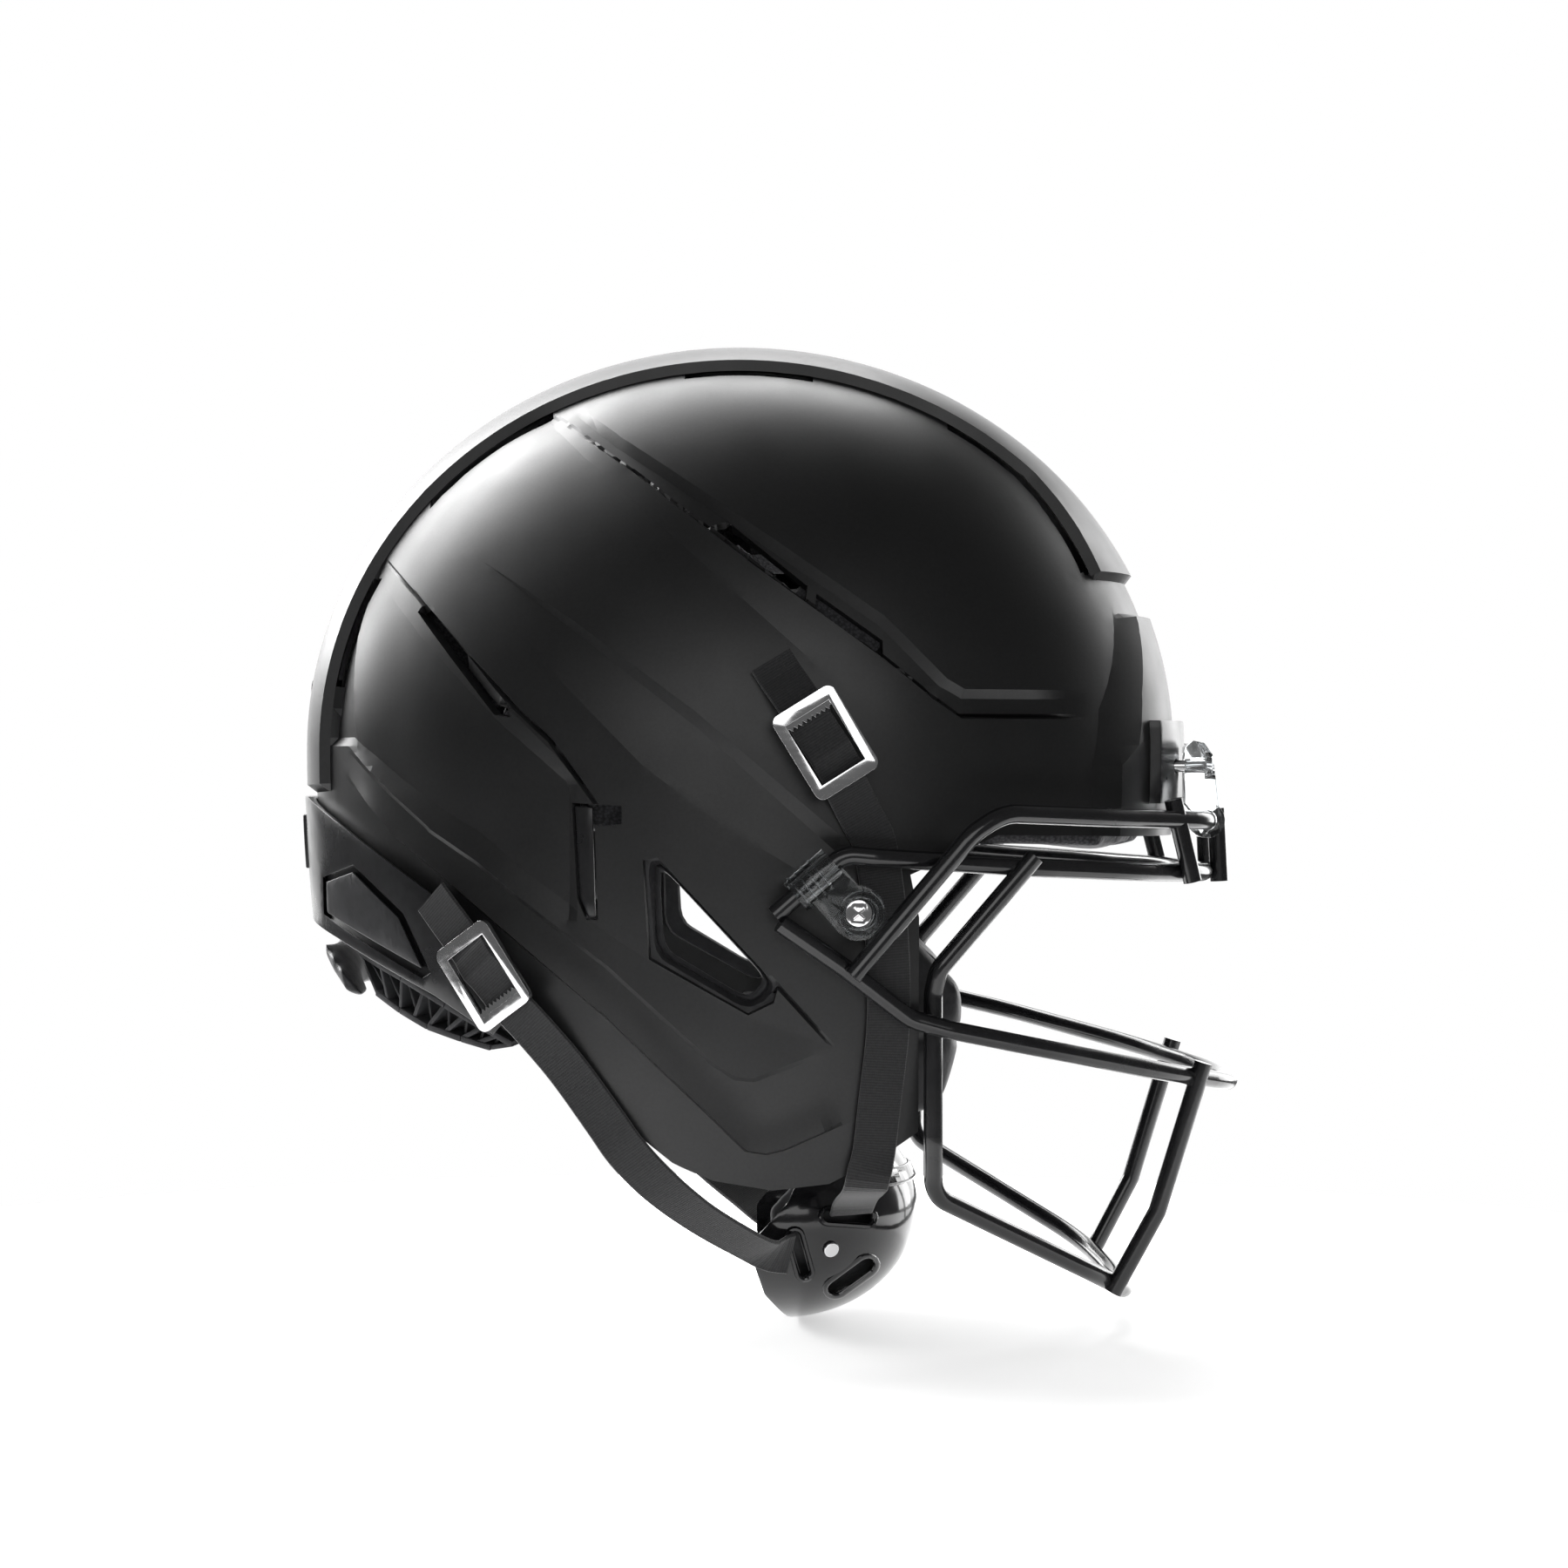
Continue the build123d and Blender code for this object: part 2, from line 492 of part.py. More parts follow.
CHIN_PAD_THICK = 8.6
chin_pad = cup_form(CUP_WALL + GAP, CUP_TOP - 1, CUP_BACK + 2) & Pos(2.5, 0, 0) * wing
chin_pad = chin_pad - cup_form(CUP_WALL + CHIN_PAD_THICK, 0, -100)
chin_way = [h - CUP_WALL - CHIN_PAD_THICK for h in CUP_HALF[:2]] + [60]
chin_way = Pos(*CUP_CENTRE) * scale(Sphere(1), by=tuple(chin_way))
chin_pad = chin_pad - (chin_way & block((-100, -100, CUP_CENTRE[2]), (150, 100, 0)))
rivet_pocket = rivet_spot * Cylinder(3.4, 12)
save("chin_cup_pad", chin_pad - rivet_pocket - left(rivet_pocket))

rivet = rivet_spot * (Pos(0, 0, -1.6) * Cylinder(1.8, 5.2) + Pos(0, 0, 0.8) * Cylinder(2.8, 1.2))
save("chin_cup_rivets", rivet, left(rivet))
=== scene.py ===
"""Looks of an American football helmet, built around its packed CAD frame.

Everything here is in the frame's metres. Shapes are drawn in millimetres and scaled once, when a piece
is finished. +X is forward, +Y the wearer's left and +Z up. Right-side pieces are drawn at negative Y and
mirrored.
"""

import math

import bmesh
import bpy
import numpy as np
from mathutils import Matrix, Vector


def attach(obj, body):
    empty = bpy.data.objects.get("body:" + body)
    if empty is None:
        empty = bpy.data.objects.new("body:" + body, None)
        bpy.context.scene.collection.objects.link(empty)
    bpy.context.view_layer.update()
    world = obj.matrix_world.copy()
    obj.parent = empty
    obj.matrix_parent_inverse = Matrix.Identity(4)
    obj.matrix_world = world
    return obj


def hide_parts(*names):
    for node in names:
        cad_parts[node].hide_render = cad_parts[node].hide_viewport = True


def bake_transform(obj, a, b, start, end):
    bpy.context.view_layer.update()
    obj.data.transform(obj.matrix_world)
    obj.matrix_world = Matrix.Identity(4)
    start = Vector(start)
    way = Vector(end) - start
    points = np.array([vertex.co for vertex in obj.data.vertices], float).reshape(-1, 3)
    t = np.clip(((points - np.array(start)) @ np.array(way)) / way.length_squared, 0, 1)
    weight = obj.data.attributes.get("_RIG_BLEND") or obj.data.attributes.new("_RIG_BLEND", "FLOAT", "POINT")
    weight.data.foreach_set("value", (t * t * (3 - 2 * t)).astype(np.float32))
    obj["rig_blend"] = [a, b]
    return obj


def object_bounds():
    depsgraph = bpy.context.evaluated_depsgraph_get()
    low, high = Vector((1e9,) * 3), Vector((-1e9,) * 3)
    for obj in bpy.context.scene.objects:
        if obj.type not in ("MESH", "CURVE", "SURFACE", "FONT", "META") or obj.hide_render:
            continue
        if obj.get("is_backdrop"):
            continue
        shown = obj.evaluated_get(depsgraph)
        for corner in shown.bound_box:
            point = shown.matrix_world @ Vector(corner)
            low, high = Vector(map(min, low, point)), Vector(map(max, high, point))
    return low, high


bl_info = {
    "name": "Football Helmet",
    "version": (1, 0, 0),
    "blender": (4, 5, 0),
    "location": "View3D > Sidebar > Helmet",
    "description": "Builds the visible pieces of a football helmet around its frame",
    "category": "Add Mesh",
}

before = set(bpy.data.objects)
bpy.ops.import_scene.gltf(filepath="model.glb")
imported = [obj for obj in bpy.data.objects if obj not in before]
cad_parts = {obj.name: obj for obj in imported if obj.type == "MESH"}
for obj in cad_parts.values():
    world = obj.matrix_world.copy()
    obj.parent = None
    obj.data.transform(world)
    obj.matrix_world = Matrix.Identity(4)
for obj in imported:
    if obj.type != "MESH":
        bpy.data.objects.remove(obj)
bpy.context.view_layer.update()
MM = 0.001
MERGE = 0.004                            # points nearer than this, in millimetres, become one
FLAT_ANGLE = 0.4                         # faces that differ by less, in degrees, become one


# ---- settings ---------------------------------------------------------------
def length(name, description, millimetres):
    return bpy.props.FloatProperty(name=name, description=description, default=millimetres * MM,
                                   unit="LENGTH")


def colour(name, description, value):
    return bpy.props.FloatVectorProperty(name=name, description=description, default=value, size=3,
                                         subtype="COLOR", min=0.0, max=1.0)


def share(name, description, value):
    return bpy.props.FloatProperty(name=name, description=description, default=value, min=0.0, max=1.0,
                                   subtype="FACTOR")


class HelmetShellSettings(bpy.types.PropertyGroup):
    """Form and finish of the shell"""
    half_length: length("Half length", "Half length of the shell's egg form", 152.5)
    half_width: length("Half width", "Half width of the shell's egg form", 120.0)
    dome_height: length("Dome height", "Height of the dome above its widest section", 141.0)
    skirt_axis: length("Skirt axis", "Half axis of the long skirt below the widest section", 300.0)
    wall: length("Wall", "Thickness of the polycarbonate", 4.0)
    ridge_rise: length("Ridge rise", "Height of the raised band over the crown", 3.5)
    ridge_half: length("Ridge half width", "Half width of the raised band", 39.0)
    strip_depth: length("Vent strip depth", "Depth of the strip that holds the temple vents", 2.2)
    grain: share("Grain", "Strength of the fine moulded grain", 0.22)
    gloss: share("Roughness", "Roughness of the satin surface", 0.4)
    colour: colour("Colour", "Colour of the shell", (0.008, 0.008, 0.0085))


class HelmetMaskSettings(bpy.types.PropertyGroup):
    """Finish of the coated facemask"""
    colour: colour("Colour", "Colour of the coating", (0.008, 0.008, 0.009))
    gloss: share("Roughness", "Roughness of the coating", 0.2)


class HelmetHardwareSettings(bpy.types.PropertyGroup):
    """Clips, buckles, screws and bumpers"""
    edge_round: length("Edge rounding", "Radius on the edges of moulded pieces", 0.5)
    buckle_round: length("Buckle rounding", "Radius on the edges of the buckles", 0.55)
    metal: colour("Metal", "Colour of the plated metal", (0.86, 0.86, 0.87))
    clear: colour("Clear plastic", "Tint of the clear clips", (0.9, 0.92, 0.93))
    bumper: colour("Bumper", "Colour of the moulded bumpers", (0.01, 0.01, 0.011))


class HelmetWebbingSettings(bpy.types.PropertyGroup):
    """Chin straps and tabs"""
    width: length("Width", "Width of the webbing", 15.0)
    thickness: length("Thickness", "Thickness of the webbing", 1.6)
    pick: length("Pick", "Distance between two weft threads", 0.9)
    colour: colour("Colour", "Colour of the thread", (0.016, 0.016, 0.017))


class HelmetPaddingSettings(bpy.types.PropertyGroup):
    """Liner, jaw pads and cushions"""
    voxel: length("Voxel", "Size of the even mesh that the covers swell from", 4.5)
    shrink: length("Shrink", "How much smaller a pad starts than it ends", 2.2)
    cap: length("Cap", "How far a point of a cover may swell", 4.0)
    pressure: bpy.props.FloatProperty(name="Pressure", description="Pressure inside the covers", default=4.0)
    liner: colour("Liner", "Colour of the liner's knit cover", (0.03, 0.03, 0.033))
    jaw: colour("Jaw pads", "Colour of the coated jaw pads", (0.016, 0.016, 0.018))


class HelmetStageSettings(bpy.types.PropertyGroup):
    """Floor, light and camera"""
    floor: colour("Floor", "Colour of the floor", (0.93, 0.93, 0.93))
    distance: length("Distance", "Distance from the camera to the helmet's middle plane", 1400.0)
    lens: bpy.props.FloatProperty(name="Lens", description="Focal length in millimetres", default=88.9)
    light: bpy.props.FloatProperty(name="Light", description="Strength of the soft lights", default=1.0,
                                   min=0.0)


# ---- the shell's form --------------------------------------------------------
class Egg:
    """The shell's form in millimetres: a dome over a long skirt."""

    def __init__(self, settings):
        self.a = settings.half_length / MM
        self.b = settings.half_width / MM
        self.top = settings.dome_height / MM
        self.skirt = settings.skirt_axis / MM

    def side(self, x, z, lift=0.0):
        """Point on the right side at (x, z), lifted along its normal, and that normal."""
        c = self.top if z > 0 else self.skirt
        y = -self.b * math.sqrt(max(1 - (x / self.a) ** 2 - (z / c) ** 2, 0.0))
        normal = Vector((x / self.a ** 2, y / self.b ** 2, z / c ** 2)).normalized()
        return Vector((x, y, z)) + normal * lift, normal

    def normals(self, points):
        """Outward normals at an array of points on the form."""
        squares = np.empty_like(points)
        squares[:, 0] = self.a ** 2
        squares[:, 1] = self.b ** 2
        squares[:, 2] = np.where(points[:, 2] > 0, self.top ** 2, self.skirt ** 2)
        normals = points / squares
        return normals / np.linalg.norm(normals, axis=1)[:, None]


# ---- mesh helpers ---------------------------------------------------------------
def object_from(bm, name):
    """A linked object that takes over a bmesh."""
    mesh = bpy.data.meshes.new(name)
    bm.to_mesh(mesh)
    bm.free()
    piece = bpy.data.objects.new(name, mesh)
    bpy.context.scene.collection.objects.link(piece)
    return piece


def coat(names, material):
    """Give a material to CAD pieces that keep their own mesh."""
    for name in names:
        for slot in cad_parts[name].material_slots:
            slot.material = material


def finished(name, bm, body, slot, material, replaces=(), sharp=32.0, outward=True):
    """Turn a bmesh drawn in millimetres into a finished piece; with no body it is left to be blended."""
    bmesh.ops.remove_doubles(bm, verts=bm.verts, dist=MERGE)
    if outward:
        bmesh.ops.recalc_face_normals(bm, faces=bm.faces)
    bmesh.ops.scale(bm, vec=(MM, MM, MM), verts=bm.verts)
    for face in bm.faces:
        face.smooth = True
    for edge in bm.edges:
        edge.smooth = len(edge.link_faces) == 2 and edge.calc_face_angle(0.0) < math.radians(sharp)
    piece = object_from(bm, name)
    piece.data.materials.append(material)
    if body:
        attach(piece, body)
    if replaces:
        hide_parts(*replaces)
    return piece


def mirrored(bm):
    """Left-side twin of a right-side bmesh."""
    twin = bm.copy()
    bmesh.ops.scale(twin, vec=(1, -1, 1), verts=twin.verts)
    bmesh.ops.reverse_faces(twin, faces=twin.faces)
    return twin


def finished_pair(name, bm, bodies, slot, material, replaces="", **options):
    """A right-side piece and its left twin; bodies and replaced nodes may differ by side."""
    pieces = []
    for side, mesh in (("right", bm), ("left", mirrored(bm))):
        body = bodies if isinstance(bodies, str) else bodies[side]
        nodes = (f"{replaces}_{side}",) if replaces else ()
        pieces.append(finished(f"{name}_{side}", mesh, body, slot, material, nodes, **options))
    return pieces


def place(point, along, out):
    """Matrix at a point whose Z runs along and whose Y faces out."""
    along = along.normalized()
    out = (out - along * out.dot(along)).normalized()
    across = out.cross(along)
    matrix = Matrix((across, out, along)).transposed().to_4x4()
    matrix.translation = point
    return matrix


def sweep(bm, section, frames, runs=None):
    """Extrude a flat section from frame to frame, closed at both ends."""
    layer = bm.verts.layers.float.get("run") or bm.verts.layers.float.new("run")
    across = bm.verts.layers.float.get("across") or bm.verts.layers.float.new("across")
    corners = []
    for u, v in section:
        vert = bm.verts.new(frames[0] @ Vector((u, v, 0)))
        vert[across] = u
        vert[layer] = runs[0] if runs else 0.0
        corners.append(vert)
    end = bm.faces.new(corners)
    for i in range(1, len(frames)):
        grown = bmesh.ops.extrude_face_region(bm, geom=[end])
        moved = [g for g in grown["geom"] if isinstance(g, bmesh.types.BMVert)]
        end = [g for g in grown["geom"] if isinstance(g, bmesh.types.BMFace)][0]
        bmesh.ops.transform(bm, matrix=frames[i] @ frames[i - 1].inverted(), verts=moved)
        for vert in moved:
            vert[layer] = runs[i] if runs else 0.0


def smooth_route(stations, step=2.5):
    """Stations of (point, normal) along one smooth curve through the given ones."""
    points = [s[0] for s in stations]
    points = [points[0] * 2 - points[1]] + points + [points[-1] * 2 - points[-2]]
    route = []
    for i in range(len(stations) - 1):
        p0, p1, p2, p3 = points[i:i + 4]
        count = max(int((p2 - p1).length / step), 1)
        for k in range(count):
            t = k / count
            bend = (p1 * 2 + (p2 - p0) * t + (p0 * 2 - p1 * 5 + p2 * 4 - p3) * t ** 2
                    + (p1 * 3 - p0 - p2 * 3 + p3) * t ** 3) * 0.5
            route.append((bend, stations[i][1].lerp(stations[i + 1][1], t).normalized()))
    route.append((stations[-1][0], stations[-1][1].normalized()))
    return route


def route_frames(route):
    """Frames along a route, and the distance run at each."""
    frames = []
    runs = []
    run = 0.0
    for i, (point, normal) in enumerate(route):
        before = route[max(i - 1, 0)][0]
        after = route[min(i + 1, len(route) - 1)][0]
        if i:
            run += (point - before).length
        frames.append(place(point, after - before, normal))
        runs.append(run)
    return frames, runs


def bevelled(bm, edges, width, segments=2):
    """Round the given edges."""
    bmesh.ops.bevel(bm, geom=edges, offset=width, offset_type="OFFSET", affect="EDGES", segments=segments,
                    profile=0.5, material=-1, clamp_overlap=True)


def sharp_edges(bm, angle):
    """Edges whose two faces turn by more than an angle in degrees."""
    limit = math.radians(angle)
    return [e for e in bm.edges if len(e.link_faces) == 2 and e.calc_face_angle(0.0) > limit]


def copy_of(node):
    """A merged copy of a CAD node, in millimetres."""
    bm = bmesh.new()
    bm.from_mesh(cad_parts[node].data)
    bmesh.ops.scale(bm, vec=(1 / MM, 1 / MM, 1 / MM), verts=bm.verts)
    bmesh.ops.remove_doubles(bm, verts=bm.verts, dist=MERGE)
    return bm


def softened(node, body, slot, material, width, angle=38.0, segments=2):
    """A CAD piece with its moulded edges rounded."""
    bm = copy_of(node)
    bmesh.ops.dissolve_limit(bm, angle_limit=math.radians(FLAT_ANGLE), verts=bm.verts, edges=bm.edges)
    bevelled(bm, sharp_edges(bm, angle), width, segments)
    return finished(f"{node}_moulded", bm, body, slot, material, (node,), outward=False)


def skin_loops(bm, loops):
    """Closed loops of points, bridged one to the next."""
    rings = []
    for loop in loops:
        verts = [bm.verts.new(p) for p in loop]
        rings.append([bm.edges.new((verts[i], verts[(i + 1) % len(verts)])) for i in range(len(verts))])
    for near, far in zip(rings, rings[1:]):
        bmesh.ops.bridge_loops(bm, edges=near + far)


# ---- materials ---------------------------------------------------------------------
VARY_FROM = 0.3                          # the part of a noise's range that a variation uses
VARY_TO = 0.7


class Finish:
    """A procedural material around one Principled shader."""

    def __init__(self, name, base, roughness, **sockets):
        self.material = bpy.data.materials.new(name)
        self.material.use_nodes = True
        self.tree = self.material.node_tree
        self.shader = self.tree.nodes["Principled BSDF"]
        self.put("Base Color", (*base, 1.0))
        self.put("Roughness", roughness)
        for socket, value in sockets.items():
            self.put(socket.replace("_", " "), value)
        self.bump = None
        self.coordinates = self.node("TexCoord").outputs["Object"]

    def put(self, socket, value):
        self.shader.inputs[socket].default_value = value

    def node(self, kind, **values):
        made = self.tree.nodes.new("ShaderNode" + kind)
        for name, value in values.items():
            setattr(made, name, value)
        return made

    def link(self, source, target):
        self.tree.links.new(source, target)

    def use_uv(self):
        """Patterns follow the piece's own UV map from here on."""
        self.coordinates = self.node("TexCoord").outputs["UV"]

    def noise(self, scale, detail=2.0, stretch=(1.0, 1.0, 1.0)):
        mapping = self.node("Mapping")
        mapping.inputs["Scale"].default_value = stretch
        self.link(self.coordinates, mapping.inputs["Vector"])
        noise = self.node("TexNoise")
        noise.inputs["Scale"].default_value = scale
        noise.inputs["Detail"].default_value = detail
        self.link(mapping.outputs["Vector"], noise.inputs["Vector"])
        return noise.outputs["Fac"]

    def cells(self, scale, feature="F1"):
        cells = self.node("TexVoronoi", feature=feature)
        cells.inputs["Scale"].default_value = scale
        self.link(self.coordinates, cells.inputs["Vector"])
        return cells.outputs["Distance"]

    def bands(self, scale, direction, distortion=0.0):
        wave = self.node("TexWave", bands_direction=direction)
        wave.inputs["Scale"].default_value = scale
        wave.inputs["Distortion"].default_value = distortion
        self.link(self.coordinates, wave.inputs["Vector"])
        return wave.outputs["Fac"]

    def math(self, operation, first, second=0.5):
        step = self.node("Math", operation=operation)
        for socket, value in zip(step.inputs, (first, second)):
            if isinstance(value, (int, float)):
                socket.default_value = value
            else:
                self.link(value, socket)
        return step.outputs[0]

    def raise_by(self, height, strength, distance):
        """Bump, stacked on the bumps before it."""
        bump = self.node("Bump")
        bump.inputs["Strength"].default_value = strength
        bump.inputs["Distance"].default_value = distance
        self.link(height, bump.inputs["Height"])
        if self.bump:
            self.link(self.bump, bump.inputs["Normal"])
        self.bump = bump.outputs["Normal"]
        self.link(self.bump, self.shader.inputs["Normal"])

    def vary(self, socket, factor, low, high):
        """Let a factor move a number or a colour between two values."""
        if socket == "Base Color":
            ramp = self.node("ValToRGB")
            ramp.color_ramp.elements[0].color = (*low, 1.0)
            ramp.color_ramp.elements[1].color = (*high, 1.0)
            ramp.color_ramp.elements[0].position = VARY_FROM
            ramp.color_ramp.elements[1].position = VARY_TO
            self.link(factor, ramp.inputs["Fac"])
            self.link(ramp.outputs["Color"], self.shader.inputs[socket])
        else:
            spread = self.node("MapRange")
            spread.inputs["From Min"].default_value = VARY_FROM
            spread.inputs["From Max"].default_value = VARY_TO
            spread.inputs["To Min"].default_value = low
            spread.inputs["To Max"].default_value = high
            self.link(factor, spread.inputs["Value"])
            self.link(spread.outputs["Result"], self.shader.inputs[socket])


def tinted(base, factor):
    """A colour made lighter or darker."""
    return tuple(min(c * factor, 1.0) for c in base)


def satin_shell(settings):
    """Painted polycarbonate: satin, with a fine even grain and faint handling marks."""
    finish = Finish("satin_shell", settings.colour, settings.gloss)
    grain = finish.noise(2600.0, 1.0)
    finish.raise_by(grain, settings.grain, 0.00006)
    marks = finish.noise(38.0, 5.0)
    finish.vary("Roughness", marks, settings.gloss - 0.03, settings.gloss + 0.05)
    finish.vary("Base Color", finish.noise(900.0, 2.0), tinted(settings.colour, 0.82),
                tinted(settings.colour, 1.25))
    return finish.material


def coated_wire(settings):
    """Dipped and cured coating on the mask: glossy, with a slow orange peel."""
    finish = Finish("coated_wire", settings.colour, settings.gloss, Coat_Weight=0.35, Coat_Roughness=0.08)
    finish.raise_by(finish.noise(260.0, 2.0), 0.12, 0.0002)
    finish.vary("Roughness", finish.noise(60.0, 4.0), settings.gloss - 0.04, settings.gloss + 0.08)
    finish.vary("Base Color", finish.noise(500.0), tinted(settings.colour, 0.8), tinted(settings.colour, 1.3))
    return finish.material


def moulded(name, base, roughness, grain=900.0, depth=0.16):
    """Moulded plastic with a fine spark-eroded grain."""
    finish = Finish(name, base, roughness)
    finish.raise_by(finish.noise(grain, 2.0), depth, 0.00012)
    finish.vary("Roughness", finish.noise(45.0, 4.0), roughness - 0.05, roughness + 0.06)
    finish.vary("Base Color", finish.noise(300.0, 3.0), tinted(base, 0.8), tinted(base, 1.3))
    return finish.material


def gloss_cup(base):
    """Polished polycarbonate of the chin cup, with hairline scratches."""
    finish = Finish("gloss_cup", base, 0.12, Coat_Weight=0.4, Coat_Roughness=0.05)
    scratches = finish.noise(900.0, 3.0, (0.06, 1.0, 0.5))
    finish.raise_by(scratches, 0.05, 0.00008)
    finish.vary("Roughness", finish.noise(70.0, 5.0), 0.08, 0.2)
    finish.vary("Base Color", finish.noise(200.0), tinted(base, 0.8), tinted(base, 1.25))
    return finish.material


def plated_metal(base):
    """Chrome plate with faint polishing marks."""
    finish = Finish("plated_metal", base, 0.1, Metallic=1.0)
    finish.raise_by(finish.noise(260.0, 2.0), 0.05, 0.00005)
    finish.vary("Roughness", finish.noise(500.0, 3.0, (0.15, 1.0, 1.0)), 0.06, 0.15)
    finish.vary("Base Color", finish.noise(120.0, 3.0), tinted(base, 0.9), base)
    return finish.material


def clear_plastic(base):
    """Clear polycarbonate, slightly smoky, with moulding swirls."""
    finish = Finish("clear_plastic", base, 0.06, Transmission_Weight=1.0, IOR=1.4)
    finish.raise_by(finish.noise(90.0, 1.0), 0.03, 0.0002)
    finish.vary("Roughness", finish.noise(200.0, 2.0), 0.05, 0.1)
    finish.vary("Base Color", finish.noise(90.0), tinted(base, 0.94), base)
    return finish.material


def woven_webbing(settings):
    """Nylon webbing: weft ribs across and warp threads along."""
    finish = Finish("woven_webbing", settings.colour, 0.72, Sheen_Weight=0.25, Sheen_Roughness=0.5,
                    Specular_IOR_Level=0.35)
    finish.use_uv()
    pick = settings.pick / MM
    ribs = finish.bands(1.0 / (pick * 3.2), "Y", 0.4)
    warp = finish.bands(1.0 / (pick * 2.4), "X")
    weave = finish.math("MULTIPLY", ribs, finish.math("ADD", warp, 0.6))
    finish.raise_by(weave, 0.3, 0.00014)
    finish.raise_by(finish.noise(2.6, 2.0), 0.2, 0.00015)
    finish.vary("Base Color", weave, tinted(settings.colour, 0.75), tinted(settings.colour, 1.25))
    finish.vary("Roughness", finish.noise(0.9, 3.0), 0.62, 0.82)
    return finish.material


def knit_cover(base):
    """Knit fabric over foam: small loops and a soft sheen."""
    finish = Finish("knit_cover", base, 0.85, Sheen_Weight=0.4, Sheen_Roughness=0.5, Specular_IOR_Level=0.25)
    loops = finish.cells(950.0)
    finish.raise_by(loops, 0.6, 0.0004)
    finish.raise_by(finish.noise(90.0, 3.0), 0.25, 0.0012)
    finish.vary("Base Color", loops, tinted(base, 1.6), tinted(base, 0.6))
    finish.vary("Roughness", finish.noise(60.0, 3.0), 0.78, 0.92)
    return finish.material


def coated_cover(base):
    """Smooth coated fabric of the jaw pads, with a fine leather-like grain."""
    finish = Finish("coated_cover", base, 0.5, Sheen_Weight=0.1, Specular_IOR_Level=0.45)
    finish.raise_by(finish.cells(620.0, "SMOOTH_F1"), 0.4, 0.0003)
    finish.raise_by(finish.noise(120.0, 3.0), 0.2, 0.0008)
    finish.vary("Base Color", finish.noise(220.0, 3.0), tinted(base, 0.75), tinted(base, 1.4))
    finish.vary("Roughness", finish.noise(80.0, 4.0), 0.42, 0.6)
    return finish.material


RUBBER_COLOUR = (0.02, 0.02, 0.022)
SNAP_COLOUR = (0.03, 0.03, 0.03)


def rubber(base):
    """Soft matt rubber."""
    finish = Finish("soft_rubber", base, 0.62, Specular_IOR_Level=0.4)
    finish.raise_by(finish.noise(700.0, 3.0), 0.25, 0.0002)
    finish.vary("Base Color", finish.noise(180.0, 3.0), tinted(base, 0.8), tinted(base, 1.4))
    finish.vary("Roughness", finish.noise(50.0, 4.0), 0.52, 0.7)
    return finish.material


# ---- shell -----------------------------------------------------------------------------
# Lines drawn on the right side of the shell, as (x, z) points in millimetres.
SIDE_OUTLINE = [(175, -31), (88, -29), (58, -42), (61, -56.5), (61, -129), (49, -137), (31, -146), (12, -148),
                (-8, -144.6), (-21, -139), (-71, -99), (-103, -80), (-140, -62), (-175, -50)]
EAR_OPENING = [(-31, -37), (-26, -36), (14, -79), (12.5, -84.5), (4, -88.6), (-29, -70)]
EAR_SLOT = [(-55, -18), (-38, -19), (-38, -25), (-47, -26), (-46, -57), (-50, -57), (-53, -50)]
TEMPLE_VENTS = [[(-9, 76), (-3, 77.3), (24, 55), (23.4, 50)],
                [(27, 52.5), (49.4, 36.6), (49.4, 31.4), (26.5, 47.6)]]
REAR_VENT = [(-110, 47), (-107, 50), (-76, 14), (-76, 10.5), (-82, 11.5)]
BROW_TOP = [(-56, 119.5), (-38, 105.5), (50, 44), (70.5, 23.5), (76.5, 20), (122, 20)]
BROW_LOW = [(-61.5, 114.5), (-33, 93.5), (-19.5, 82.5), (9.5, 60), (50, 30.5), (67.5, 16.5), (75.5, 11),
            (122, 11)]
BLADE_HOLLOW = [(-60, 108), (-52, 100), (-13.5, 64.5), (27.5, 27.5), (65, -3.5)]
BLADE_CREST = [(-90, 66), (-81.5, 60.5), (-54, 42.5), (-13, 12), (33, -27.5)]
BLADE_FOOT = [(-90, 65.8), (-81.5, 60.2), (-54, 39), (-13, 7), (33, -34)]
BLADE_EDGE = [(-105, 74), (-96.5, 64.5), (-55.5, 19.5), (-30.5, -6), (-3.5, -26), (26, -43.5)]
PANEL_GROOVE = [(-127.5, 70), (-108, 50), (-73.5, 13), (-62.5, 3), (-42, -24.5)]
PANEL_RIM = [(-118, 62), (-103, 41), (-79, 16), (-59.5, -3), (-53, -10.5), (-53, -56)]
PANEL_FACE = [(-122, 54), (-108, 37.5), (-82, 10.5), (-57, -11), (-56, -15), (-56, -56)]
BAND_TOP = [(-132, 3), (-115, -10.5), (-102, -19.5), (-86.5, -28.5), (-71.5, -41), (-56, -52), (-42, -62),
            (-29, -70.5), (4, -89.5), (32, -99)]
BAND_LOW = [(-133, -1), (-115, -17), (-102, -28), (-86.5, -38), (-71.5, -50), (-42, -72.5), (-19, -93.5),
            (-7.5, -104), (0, -109), (5.5, -109.5), (32, -99.5)]
FLANK_CREST = [(-135.5, -9), (-115, -30), (-102.5, -39.5), (-71.5, -65), (-42, -89.5), (-19, -111.5),
               (-7.5, -122.5), (3.5, -133.5), (10, -134.5), (16, -133), (41, -122)]
EAR_TIP = [(14, -79), (32, -99)]
# Lines at the front and the back, as (half width, z) points in millimetres.
REAR_FACET = [(42, 65), (48, 40), (56, 18), (60, 3)]
BROW_PANEL_INNER = [(63, -31), (63, -5.5), (54, 1.5), (49, 19.5), (38, 41.5), (36, 47)]
BROW_PANEL_OUTER = [(72, -31), (72, -5), (69, 13.5), (60, 27), (49, 44.5), (46, 48)]
RIDGE_FLARE = [(48, 60), (39, 95)]
